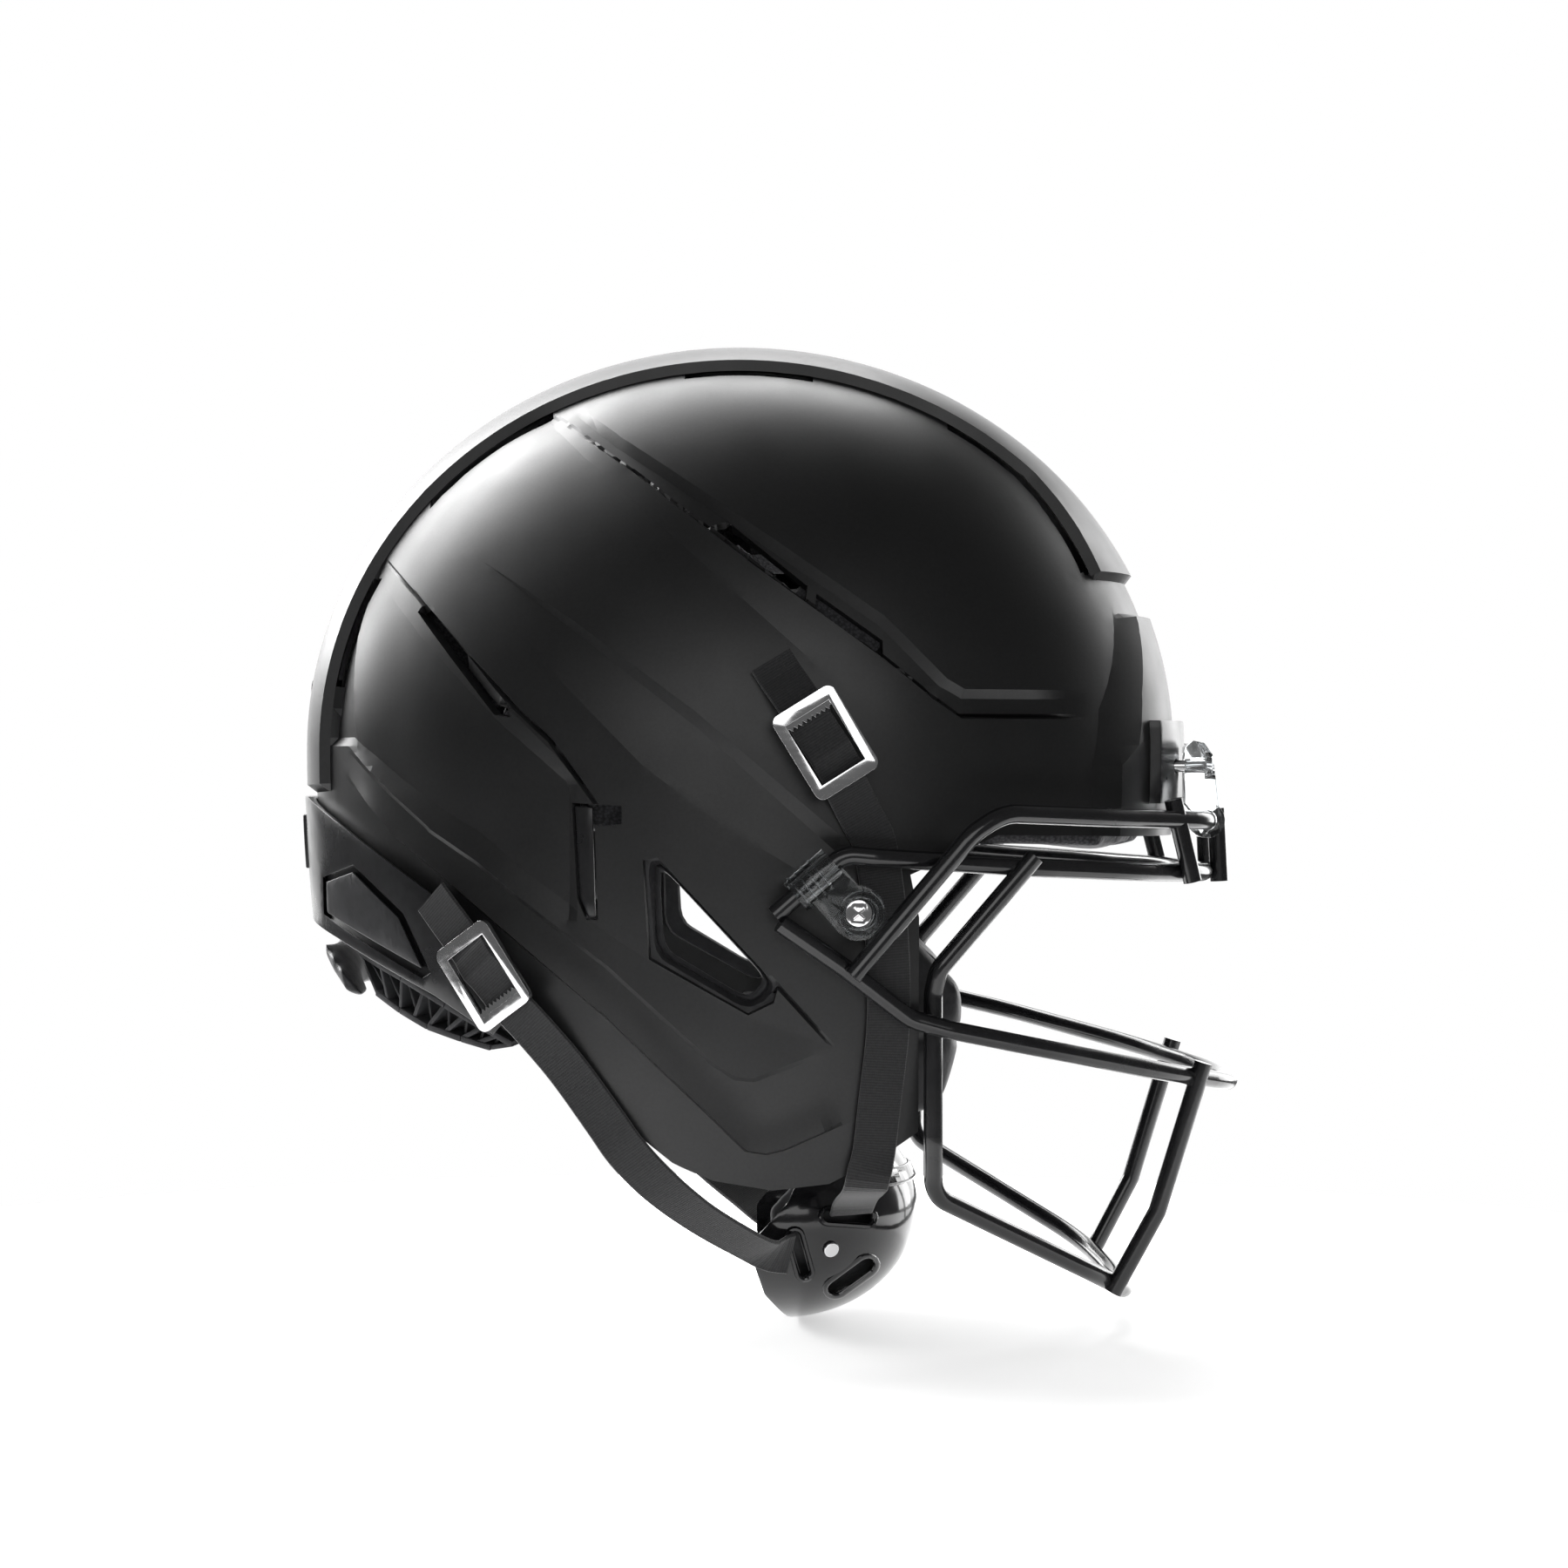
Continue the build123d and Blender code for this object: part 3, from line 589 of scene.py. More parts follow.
# Vents beside the ridge: the first three run in x, the other two in height.
CROWN_VENTS = [(-108, -65), (-19, 26), (73, 109)]
BROW_VENT = (58, 86)
BACK_VENT = (22, 60)
BROW_VENT_BRIDGE = 3                     # shell left standing under the brow vent
BROW_VENT_FROM = 109                     # the brow vent lies ahead of this x
VENT_WIDE = 5.0
RIDGE_WALL = 1.5                         # width of the ridge's steep side
RIDGE_ENDS = (59.0, 60.5)                # heights between which the ridge stops on the brow
RIDGE_STOP_BELOW = 70                    # the brow's ridge is tapered only below this height
RIDGE_FOOT = -13                         # height at which the ridge stops at the back
FLARE_TOP = 95                           # the ridge widens below this height on the brow
BROW_PANEL_TOP = (45.5, 47.5)            # heights between which the brow panel starts
BROW_PANEL_BELOW = 50
BROW_FROM = 60                           # ahead of this x the shell is brow
BACK_FROM = -60                          # behind this x the shell is back
CHANNEL_DEPTH = 3.0                      # channels beside the ridge at the back
CHANNEL_FLOOR = (1, 4)
CHANNEL_TOP = 67
CHANNEL_FADE = 5.0
CHANNEL_LIP = 1.0
STRIP_EDGE = 3.0                         # width of the slope at the strip's upper edge
STRIP_GROOVE = (0.9, 1.3)                # half width and depth
PANEL_CUT = (0.8, 1.2)
EAR_TIP_CUT = (0.9, 1.1)
BAND_STEP = 1.6                          # width of the step under the band
FLANK_STEP = 1.4                         # width of the step under the flank's crest
PANEL_DEPTH = 1.3
BAND_RISE = 1.3
FLANK_RISE = 2.4
FLANK_RUN = 12.0                         # how far above its crest the flank starts to rise
# Runs in x over which a relief comes up out of the plain egg, or goes down into it.
BLADES_IN = (-92, -50)
BLADES_OUT = (18, 64)
STRIP_IN = (-60, -40)
STRIP_OUT = (96, 121)
PANEL_CUT_IN = (-128, -112)
PANEL_CUT_OUT = (-50, -40)
PANEL_IN = (-140, -114)
BAND_IN = (-138, -122)
BAND_OUT = (6, 32)
FLANK_OUT = (27, 38)
EAR_TIP_OUT = (24, 33)
LAST_BLADE_FADE = (-24, -2)              # heights over which the lowest blade flattens out
EAR_TIP_CORNER = (13, -76)               # the tip's groove lies ahead of and below this
BLADE_FACETS = ((-0.5, -1.5), (-1.5, 0.25), (0.25, -1.3), (-1.3, 0.25), (0.25, -1.1))
FLANK_FROM = -34                         # the flank lies outside this y
SIDE_WINDOW_FROM = 38                    # the side's windows open only outside this half width
BROW_RIM = -31
ABOVE_ALL = 160
RIDGE_CUT_TOP = 150
BROW_CUT_HALF = 56                       # how far from the middle the cuts across the brow reach
BACK_CUT_HALF = 62
GRID_CUTS = 78
GRID_FOOT = -156                         # the grid is thrown away below this
GRID_OVER = 2.4                          # and this far past the middle
SKIRT_DEPTH = 143.0                      # skirt height that one radian of the grid covers
SNAP = 0.22
CUT_REACH = 5.0                          # faces nearer to a line than this are tried for a cut
FAR = 1e9                                # beyond any distance on the helmet


class Seam:
    """A line drawn on the shell's side; reach gives signed distances, positive above it."""

    def __init__(self, points):
        self.points = np.array(points, float)

    def reach(self, x, z):
        best = np.full(x.shape, FAR)
        signed = np.zeros(x.shape)
        last = len(self.points) - 2
        for i in range(last + 1):
            start, end = self.points[i], self.points[i + 1]
            run = end - start
            size = np.hypot(*run)
            along = ((x - start[0]) * run[0] + (z - start[1]) * run[1]) / size
            low = -FAR if i == 0 else 0.0
            high = FAR if i == last else size
            clamped = np.clip(along, low, high)
            du = x - start[0] - run[0] * clamped / size
            dv = z - start[1] - run[1] * clamped / size
            distance = np.hypot(du, dv)
            side = np.sign(run[0] * (z - start[1]) - run[1] * (x - start[0]))
            nearer = distance < best - 1e-9
            best = np.where(nearer, distance, best)
            signed = np.where(nearer, distance * side, signed)
        return signed


def step(value, low, high):
    """Smooth rise from 0 at low to 1 at high."""
    t = np.clip((value - low) / (high - low), 0.0, 1.0)
    return t * t * (3 - 2 * t)


def between(down, up, at_upper, at_lower):
    """Height on a flat facet, from the distances down from its upper seam and up from its lower one."""
    share_down = np.clip(down / np.maximum(down + up, 1e-6), 0.0, 1.0)
    return at_upper + (at_lower - at_upper) * share_down


def groove(distance, half, depth):
    """A V-shaped groove along a seam."""
    return -depth * np.clip(1 - np.abs(distance) / half, 0.0, 1.0)


def side_lift(x, z, strip_depth):
    """Height of the moulded facets on the shell's side, above the plain egg."""
    brow_top = Seam(BROW_TOP).reach(x, z)
    brow_low = Seam(BROW_LOW).reach(x, z)
    hollow = Seam(BLADE_HOLLOW).reach(x, z)
    crest = Seam(BLADE_CREST).reach(x, z)
    foot = Seam(BLADE_FOOT).reach(x, z)
    edge = Seam(BLADE_EDGE).reach(x, z)
    panel = Seam(PANEL_GROOVE).reach(x, z)
    blades = step(x, *BLADES_IN) * (1 - step(x, *BLADES_OUT))
    strip = step(x, *STRIP_IN) * (1 - step(x, *STRIP_OUT))
    lift = np.zeros(x.shape)
    in_strip = (brow_top < 0) & (brow_low >= 0)
    lift = np.where(in_strip, -strip_depth * np.clip(-brow_top / STRIP_EDGE, 0, 1) * strip, lift)
    seams = (brow_low, hollow, crest, foot, edge, panel)
    for upper, lower, (at_upper, at_lower) in zip(seams, seams[1:], BLADE_FACETS):
        in_facet = (upper < 0) & (lower >= 0)
        if lower is panel:
            at_lower = at_lower * step(z, *LAST_BLADE_FADE)
        lift = np.where(in_facet, between(-upper, lower, at_upper, at_lower) * blades, lift)
    lift = lift + groove(brow_low, *STRIP_GROOVE) * strip
    lift = lift + groove(panel, *PANEL_CUT) * step(x, *PANEL_CUT_IN) * (1 - step(x, *PANEL_CUT_OUT))
    return lift


def rear_lift(x, z):
    """Height of the rear panel and of the bands under the ear, above the plain egg."""
    panel = Seam(PANEL_GROOVE).reach(x, z)
    rim = Seam(PANEL_RIM).reach(x, z)
    face = Seam(PANEL_FACE).reach(x, z)
    band_top = Seam(BAND_TOP).reach(x, z)
    band_low = Seam(BAND_LOW).reach(x, z)
    flank = Seam(FLANK_CREST).reach(x, z)
    depth = PANEL_DEPTH * step(x, *PANEL_IN)
    recess = -depth * np.clip(rim / np.minimum(rim - face, -1e-6), 0, 1) * (rim < 0)
    behind = (rim < 0) & (panel < 0) & (band_top > 0)
    lift = np.where(behind, recess, 0.0)
    ends = step(x, *BAND_IN)
    crown = BAND_RISE * ends * (1 - step(x, *BAND_OUT))
    in_band = (band_top <= 0) & (band_low > 0)
    down = np.clip(-band_top / np.maximum(band_low - band_top, 1e-6), 0, 1)
    lift = np.where(in_band, recess + (crown - recess) * down, lift)
    below = (band_low <= 0) & (flank > 0)
    near_crest = np.clip(1 - flank / FLANK_RUN, 0, 1) ** 1.8
    flank_height = FLANK_RISE * ends * (1 - step(x, *FLANK_OUT))
    fall = np.clip(1 + band_low / BAND_STEP, 0, 1)
    lift = np.where(below, near_crest * flank_height + crown * fall, lift)
    lift = np.where(flank <= 0, flank_height * np.clip(1 + flank / FLANK_STEP, 0, 1), lift)
    tip = groove(Seam(EAR_TIP).reach(x, z), *EAR_TIP_CUT)
    return lift + tip * (x > EAR_TIP_CORNER[0]) * (1 - step(x, *EAR_TIP_OUT)) * (z < EAR_TIP_CORNER[1])


def half_width_at(z, line):
    """Half width of a front or back line at a height."""
    heights = [p[1] for p in line]
    widths = [p[0] for p in line]
    if heights[0] > heights[-1]:
        heights.reverse()
        widths.reverse()
    return np.interp(z, heights, widths)


def centre_lift(x, y, z, settings):
    """Height of the crown ridge, the brow panel and the rear channels, above the plain egg."""
    rise = settings.ridge_rise / MM
    half = settings.ridge_half / MM
    wide = np.abs(y)
    front = x > BROW_FROM
    edge = np.where(front & (z < FLARE_TOP), half_width_at(z, RIDGE_FLARE), half)
    ridge = rise * np.clip((edge + RIDGE_WALL - wide) / RIDGE_WALL, 0, 1)
    stop = np.clip((z - RIDGE_ENDS[0]) / (RIDGE_ENDS[1] - RIDGE_ENDS[0]), 0, 1)
    ridge = np.where(front & (z < RIDGE_STOP_BELOW), ridge * stop, ridge)
    ridge = np.where((~front) & (z < RIDGE_FOOT), 0.0, ridge)
    inner = half_width_at(z, BROW_PANEL_INNER)
    outer = half_width_at(z, BROW_PANEL_OUTER)
    panel = rise * np.clip((outer - wide) / (outer - inner), 0, 1)
    panel = panel * np.clip((BROW_PANEL_TOP[1] - z) / (BROW_PANEL_TOP[1] - BROW_PANEL_TOP[0]), 0, 1)
    lift = np.where(front & (z < BROW_PANEL_BELOW), panel, ridge)
    rim = half_width_at(z, REAR_FACET)
    low, high = CHANNEL_FLOOR
    channel = -CHANNEL_DEPTH * np.clip((rim - wide) / (rim - half - RIDGE_WALL - CHANNEL_LIP), 0, 1)
    channel = channel * np.clip((z - low) / (high - low), 0, 1)
    channel = channel * np.clip((CHANNEL_TOP - z) / CHANNEL_FADE, 0, 1)
    beside = (wide > half + RIDGE_WALL) & (wide < rim)
    in_channel = (x < BACK_FROM) & beside & (z < CHANNEL_TOP) & (z > 0)
    return np.where(in_channel, channel, lift)


def cut(bm, start, end, across, zone, margin=3.5):
    """Cut the faces near a drawn line; across is the axis that the cutting plane runs along."""
    first, second = [i for i in range(3) if i != across]
    run = Vector((end[0] - start[0], end[1] - start[1]))
    size = run.length
    run.normalize()
    faces = []
    for face in bm.faces:
        co = face.verts[0].co
        du = co[first] - start[0]
        dv = co[second] - start[1]
        near = abs(du * run.y - dv * run.x) < CUT_REACH
        if near and -margin < du * run.x + dv * run.y < size + margin and zone(co):
            faces.append(face)
    if not faces:
        return
    origin = Vector((0, 0, 0))
    origin[first], origin[second] = start
    normal = Vector((0, 0, 0))
    normal[first], normal[second] = -run.y, run.x
    geometry = set(faces)
    for face in faces:
        geometry.update(face.edges)
        geometry.update(face.verts)
    result = bmesh.ops.bisect_plane(bm, geom=list(geometry), dist=SNAP, plane_co=origin, plane_no=normal)
    for item in result["geom_cut"]:
        if isinstance(item, bmesh.types.BMVert):
            item.co -= normal * (item.co - origin).dot(normal)


def cut_line(bm, points, across, zone, closed=False):
    """Cut along every stretch of a drawn line."""
    ends = points[1:] + points[:1] if closed else points[1:]
    for start, end in zip(points, ends):
        cut(bm, start, end, across, zone)


def inside(u, v, outline):
    """Whether a point lies inside a closed outline."""
    found = False
    for i, (u1, v1) in enumerate(outline):
        u2, v2 = outline[i - 1]
        if (v1 > v) != (v2 > v) and u < (u2 - u1) * (v - v1) / (v2 - v1) + u1:
            found = not found
    return found


def egg_grid(egg):
    """Right half of the plain egg as an even grid."""
    bm = bmesh.new()
    bmesh.ops.create_cube(bm, size=2)
    bmesh.ops.subdivide_edges(bm, edges=bm.edges, cuts=GRID_CUTS, use_grid_fill=True)
    for vert in bm.verts:
        spread = Vector([math.tan(c * math.pi / 4) for c in vert.co]).normalized()
        if spread.z > 0:
            vert.co = (spread.x * egg.a, spread.y * egg.b, spread.z * egg.top)
        else:
            low = -SKIRT_DEPTH * math.asin(max(-spread.z, 0.0))
            level = max(math.hypot(spread.x, spread.y), 1e-6)
            wide = math.sqrt(max(1 - (low / egg.skirt) ** 2, 0.01)) / level
            vert.co = (spread.x * wide * egg.a, spread.y * wide * egg.b, low)
    unwanted = [v for v in bm.verts if v.co.z < GRID_FOOT or v.co.y > GRID_OVER]
    bmesh.ops.delete(bm, geom=unwanted, context="VERTS")
    bmesh.ops.bisect_plane(bm, geom=bm.verts[:] + bm.edges[:] + bm.faces[:], dist=0.01, plane_co=(0, 0, 0),
                           plane_no=(0, 1, 0), clear_outer=True)
    return bm


SIDE_WINDOWS = [EAR_OPENING, EAR_SLOT, REAR_VENT] + TEMPLE_VENTS
SIDE_SEAMS = (BROW_TOP, BROW_LOW, BLADE_HOLLOW, BLADE_CREST, BLADE_FOOT, BLADE_EDGE, PANEL_GROOVE, PANEL_RIM,
              PANEL_FACE, BAND_TOP, BAND_LOW, FLANK_CREST, EAR_TIP)
SEAM_OFFSETS = (
    (BROW_TOP, (-STRIP_EDGE,)),
    (BROW_LOW, (-STRIP_GROOVE[0], STRIP_GROOVE[0])),
    (PANEL_GROOVE, (-PANEL_CUT[0], PANEL_CUT[0])),
    (BAND_LOW, (-BAND_STEP,)),
    (FLANK_CREST, (-FLANK_STEP,)),
    (EAR_TIP, (-EAR_TIP_CUT[0], EAR_TIP_CUT[0])),
)


def on_flank(co):
    return co.y < FLANK_FROM


def on_brow(co):
    return co.x > BROW_FROM


def on_back(co):
    return co.x < BACK_FROM


def anywhere(co):
    return True


def offset_line(line, offset):
    """A drawn line moved sideways."""
    moved = []
    for i, (x, z) in enumerate(line):
        before = Vector(line[max(i - 1, 0)])
        after = Vector(line[min(i + 1, len(line) - 1)])
        out = (after - before).normalized().orthogonal()
        moved.append((x + out.x * offset, z + out.y * offset))
    return moved


def cut_side(bm):
    """Cut the seams and the windows that are drawn on the right side."""
    for line in SIDE_SEAMS:
        cut_line(bm, line, 1, on_flank)
    for line, offsets in SEAM_OFFSETS:
        for offset in offsets:
            cut_line(bm, offset_line(line, offset), 1, on_flank)
    for window in SIDE_WINDOWS:
        cut_line(bm, window, 1, on_flank, closed=True)
    cut_line(bm, SIDE_OUTLINE, 1, anywhere)


def cut_centre(bm, half):
    """Cut the ridge and its vents, the brow panel and the channels at the back."""
    top = half + RIDGE_WALL
    for wide in (half, top, top + VENT_WIDE):
        cut(bm, (-wide, BROW_RIM), (-wide, RIDGE_CUT_TOP), 0,
            lambda co: co.x < BROW_FROM or co.z > FLARE_TOP - 3)
        shift = wide - half
        cut_line(bm, [(-w - shift, z) for w, z in RIDGE_FLARE], 0, on_brow)
    cut_line(bm, [(-w, z) for w, z in REAR_FACET], 0, on_back)
    for line in (BROW_PANEL_INNER, BROW_PANEL_OUTER):
        cut_line(bm, [(-w, z) for w, z in line], 0, on_brow)
    for height in RIDGE_ENDS + BROW_PANEL_TOP:
        cut(bm, (-BROW_CUT_HALF, height), (0, height), 0, on_brow)
    for height in CHANNEL_FLOOR:
        cut(bm, (-BACK_CUT_HALF, height), (-half, height), 0, on_back)
    for height in BACK_VENT:
        cut(bm, (-top - VENT_WIDE - 2, height), (-half, height), 0, on_back)
    for height in BROW_VENT:
        cut(bm, (-BACK_CUT_HALF, height), (-half, height), 0, on_brow)
    for run in CROWN_VENTS:
        for x in run:
            cut(bm, (x, 60), (x, ABOVE_ALL), 1,
                lambda co: -top - VENT_WIDE - 4 < co.y < -half + 2 and co.z > 60)


def is_open(x, wide, z, half):
    """Whether a spot on the right side lies in a window, in a vent or outside the outline."""
    if not inside(x, z, SIDE_OUTLINE + [(-175, ABOVE_ALL), (175, ABOVE_ALL)]):
        return True
    if wide > SIDE_WINDOW_FROM and any(inside(x, z, window) for window in SIDE_WINDOWS):
        return True
    top = half + RIDGE_WALL
    if x > BROW_FROM and z < FLARE_TOP:
        top = top + (float(half_width_at(z, RIDGE_FLARE)) - half)
    if not top < wide < top + VENT_WIDE:
        return False
    in_crown_vent = z > 60 and any(start < x < end for start, end in CROWN_VENTS)
    in_back_vent = x < BACK_FROM and BACK_VENT[0] < z < BACK_VENT[1]
    in_brow_vent = x > BROW_VENT_FROM and BROW_VENT[0] + BROW_VENT_BRIDGE < z < BROW_VENT[1]
    return in_crown_vent or in_back_vent or in_brow_vent


def raise_relief(bm, egg, settings):
    """Move the shell's points out or in to the heights of its relief."""
    points = np.array([v.co for v in bm.verts])
    x, y, z = points.T
    outside_ridge = np.abs(y) > settings.ridge_half / MM + RIDGE_WALL + 0.3
    sides = side_lift(x, z, settings.strip_depth / MM) + rear_lift(x, z)
    lift = centre_lift(x, y, z, settings) + np.where(outside_ridge, sides, 0.0)
    raised = points + egg.normals(points) * lift[:, None]
    for vert, co in zip(bm.verts, raised):
        vert.co = co


def shell_mesh(settings):
    """The shell's outer surface, cut along every edge of its facets and raised to their heights."""
    egg = Egg(settings)
    bm = egg_grid(egg)
    half = settings.ridge_half / MM
    cut_side(bm)
    cut_centre(bm, half)
    doomed = []
    for face in bm.faces:
        x, y, z = face.calc_center_median()
        if is_open(x, -y, z, half):
            doomed.append(face)
    bmesh.ops.delete(bm, geom=doomed, context="FACES")
    raise_relief(bm, egg, settings)
    for vert in bm.verts:
        if abs(vert.co.y) < 0.02:
            vert.co.y = 0.0
    bmesh.ops.mirror(bm, geom=bm.verts[:] + bm.edges[:] + bm.faces[:], axis="Y", merge_dist=0.01)
    bmesh.ops.recalc_face_normals(bm, faces=bm.faces)
    highest = max(bm.faces, key=lambda f: f.calc_center_median().z)
    if highest.normal.z < 0:
        bmesh.ops.reverse_faces(bm, faces=bm.faces)
    return bm


class HELMET_OT_shell(bpy.types.Operator):
    """Build the vented shell with its ridge, facets and a wall with flat filled rims"""
    bl_idname = "helmet.shell"
    bl_label = "Shell"

    def execute(self, context):
        settings = context.scene.helmet_shell
        bm = shell_mesh(settings)
        piece = finished("shell_moulded", bm, "shell", "shell", satin_shell(settings), ("shell",), sharp=6.0,
                         outward=False)
        wall = piece.modifiers.new("Wall", "SOLIDIFY")
        wall.thickness = settings.wall
        wall.offset = -1.0
        return {"FINISHED"}


# ---- mask, clips, bumpers and small hardware ----------------------------------------------
MASK_WIRES = ["brow_wire", "lower_brow_wire", "cheek_wire", "frame_wire", "front_bar_right", "front_bar_left",
              "outer_brow_bars", "inner_brow_bars"]


class HELMET_OT_mask(bpy.types.Operator):
    """Coat the welded wires of the facemask"""
    bl_idname = "helmet.mask"
    bl_label = "Facemask"

    def execute(self, context):
        coat(MASK_WIRES, coated_wire(context.scene.helmet_mask))
        return {"FINISHED"}


CLIP_LOOP_ENDS = (Vector((19.6, -123.6, -48.9)), Vector((32.2, -122.7, -37.9)))
CLIP_LOOP_R = 6.2
CLIP_LOOP_SHARES = (0.12, 0.3, 0.48, 0.66)    # places of the rings along the loop
CLIP_SCREW = (39.2, -53.7)
CLIP_FACE = 10.1                              # height of the clip's face over the shell's form
CLIP_BOSS_R = (5.6, 7.5)
CLIP_RING_R = 0.42                            # radius of a ring's own section


def clip_ring(bm, axis, share_along, radius):
    """A thin raised ring about an axis, for the side clip."""
    start, end = axis
    along = (end - start).normalized()
    middle = start.lerp(end, share_along)
    out = along.orthogonal().normalized()
    spoke = place(middle + out * radius, out.cross(along), out)
    section = bmesh.ops.create_circle(bm, segments=8, radius=CLIP_RING_R, matrix=spoke)
    rim = set(section["verts"])
    edges = [e for e in bm.edges if e.verts[0] in rim and e.verts[1] in rim]
    bmesh.ops.spin(bm, geom=edges, cent=middle, axis=along, angle=math.tau, steps=36, use_merge=True)


class HELMET_OT_clips(bpy.types.Operator):
    """Round and clear the clips, and plate the screws, nuts, snaps and rivets"""
    bl_idname = "helmet.clips"
    bl_label = "Clips and screws"

    def execute(self, context):
        settings = context.scene.helmet_hardware
        clear = clear_plastic(settings.clear)
        metal = plated_metal(settings.metal)
        width = settings.edge_round / MM
        for side in ("right", "left"):
            softened(f"front_clip_{side}", "shell", "clear_clip", clear, width)
            softened(f"side_clip_{side}", "facemask", "clear_clip", clear, width)
        bm = bmesh.new()
        for share_along in CLIP_LOOP_SHARES:
            clip_ring(bm, CLIP_LOOP_ENDS, share_along, CLIP_LOOP_R)
        spot, out = Egg(context.scene.helmet_shell).side(*CLIP_SCREW, CLIP_FACE)
        for radius in CLIP_BOSS_R:
            clip_ring(bm, (spot, spot + out), 0.0, radius)
        finished_pair("side_clip_rings", bm, "facemask", "clear_clip", clear, sharp=60.0)
        softened("side_clip_screws", "facemask", "chrome", metal, 0.25)
        softened("front_clip_screws", "shell", "chrome", metal, 0.25)
        softened("chin_cup_rivets", "chin_cup", "chrome", metal, 0.5, segments=3)
        coat(("front_clip_nuts", "side_receptacles", "snap_studs", "snap_caps"), metal)
        return {"FINISHED"}


class HELMET_OT_buckles(bpy.types.Operator):
    """Round and plate the four ladder-lock buckles"""
    bl_idname = "helmet.buckles"
    bl_label = "Buckles"

    def execute(self, context):
        settings = context.scene.helmet_hardware
        metal = plated_metal(settings.metal)
        for name in ("upper_buckle_right", "upper_buckle_left", "rear_buckle_right", "rear_buckle_left"):
            softened(name, name, "chrome", metal, settings.buckle_round / MM, segments=3)
        return {"FINISHED"}


class HELMET_OT_bumpers(bpy.types.Operator):
    """Finish the bumpers, pods, plate, slot inserts and valve"""
    bl_idname = "helmet.bumpers"
    bl_label = "Bumpers"

    def execute(self, context):
        settings = context.scene.helmet_hardware
        body = moulded("bumper_plastic", settings.bumper, 0.3)
        insert = moulded("insert_plastic", tinted(settings.bumper, 1.6), 0.42)
        width = settings.edge_round / MM
        for name in ("nose_bumper", "rear_bumper"):
            softened(name, "shell", "bumper", body, width)
        for name in ("rear_pod_right", "rear_pod_left", "rear_plate"):
            softened(name, "shell", "bumper", insert, width)
        for name in ("ear_slot_insert_right", "ear_slot_insert_left"):
            softened(name, "shell", "bumper", body, width)
        softened("inflation_valve", "shell", "soft_rubber", rubber(RUBBER_COLOUR), 0.4)
        plastic = moulded("snap_plastic", SNAP_COLOUR, 0.35)
        softened("jaw_pad_snaps", "shell", "small_plastic", plastic, 0.4)
        return {"FINISHED"}


# ---- webbing ------------------------------------------------------------------------------
UPPER_SNAP = (28.3, 1.9)
REAR_SNAP = (-80.5, -75.0)
UPPER_HEADING = -58.0
REAR_HEADING = -53.0
UPPER_TAB_LIFT = 5.0
REAR_TAB_LIFT = 6.6
# Routes of the straps: (x, z, lift) where they lie on the shell, and a point and its normal where they
# are free.
UPPER_STRAP = [(34.6, -10, 4.5), (37.5, -15.5, 2.6), (41.5, -23, 1.3), (46, -33, 1.2), (49.5, -60, 1.6),
               (50.3, -90, 1.6), (47.5, -118, 1.6), (45.5, -135, 1.9),
               (44.5, -103, -142, 0.1, -0.97, -0.2), (43.5, -101, -147, 0.05, -0.7, -0.7),
               (42.5, -93, -150, 0.05, -0.4, -0.9), (41, -74, -154, 0.05, -0.3, -0.94),
               (40, -60, -157.8, 0.05, -0.5, -0.85), (39.2, -52.6, -161.6, 0.15, -0.75, -0.6)]
REAR_STRAP = [(-73.2, -85, 6.1), (-66.5, -93, 4.6), (-56, -107, 2.0), (-44.1, -123.6, 1.8),
              (-36.3, -134.7, 1.8),
              (-26.3, -100, -146.6, -0.1, -0.9, -0.43), (-13.5, -89, -158.2, -0.1, -0.8, -0.6),
              (2, -74, -169.4, -0.15, -0.8, -0.58), (10.5, -63.5, -174.3, -0.15, -0.87, -0.4),
              (18, -57.4, -175.2, -0.1, -0.95, -0.2)]
BOUND_EDGE = (0.5, 1.6)                  # the webbing's bound edge starts and ends this far in
BOUND_SINK = 0.12
STRAP_ON_SHELL = (0.04, 0, -0.13)        # the straps ride with the shell above here
STRAP_ON_CUP = (0.04, 0, -0.165)         # and with the chin cup below here


def strap_stations(egg, route):
    """Points and normals along a strap's route."""
    stations = []
    for spot in route:
        if len(spot) == 3:
            stations.append(egg.side(*spot))
        else:
            stations.append((Vector(spot[:3]), Vector(spot[3:]).normalized()))
    return stations


def webbing_mesh(stations, settings):
    """A length of webbing, with UVs in millimetres across and along it."""
    half = settings.width / MM / 2
    thick = settings.thickness / MM / 2
    edge = half - BOUND_EDGE[0]
    bound = half - BOUND_EDGE[1]
    sunk = thick - BOUND_SINK
    section = [(-half, -thick * 0.4), (-edge, -thick), (-bound, -sunk), (0, -thick), (bound, -sunk),
               (edge, -thick), (half, -thick * 0.4), (half, thick * 0.4), (edge, thick), (bound, sunk),
               (0, thick), (-bound, sunk), (-edge, thick), (-half, thick * 0.4)]
    frames, runs = route_frames(smooth_route(stations))
    bm = bmesh.new()
    sweep(bm, section, frames, runs)
    uv = bm.loops.layers.uv.new("UVMap")
    run = bm.verts.layers.float["run"]
    across = bm.verts.layers.float["across"]
    for face in bm.faces:
        for loop in face.loops:
            loop[uv].uv = (loop.vert[across], loop.vert[run])
    return bm


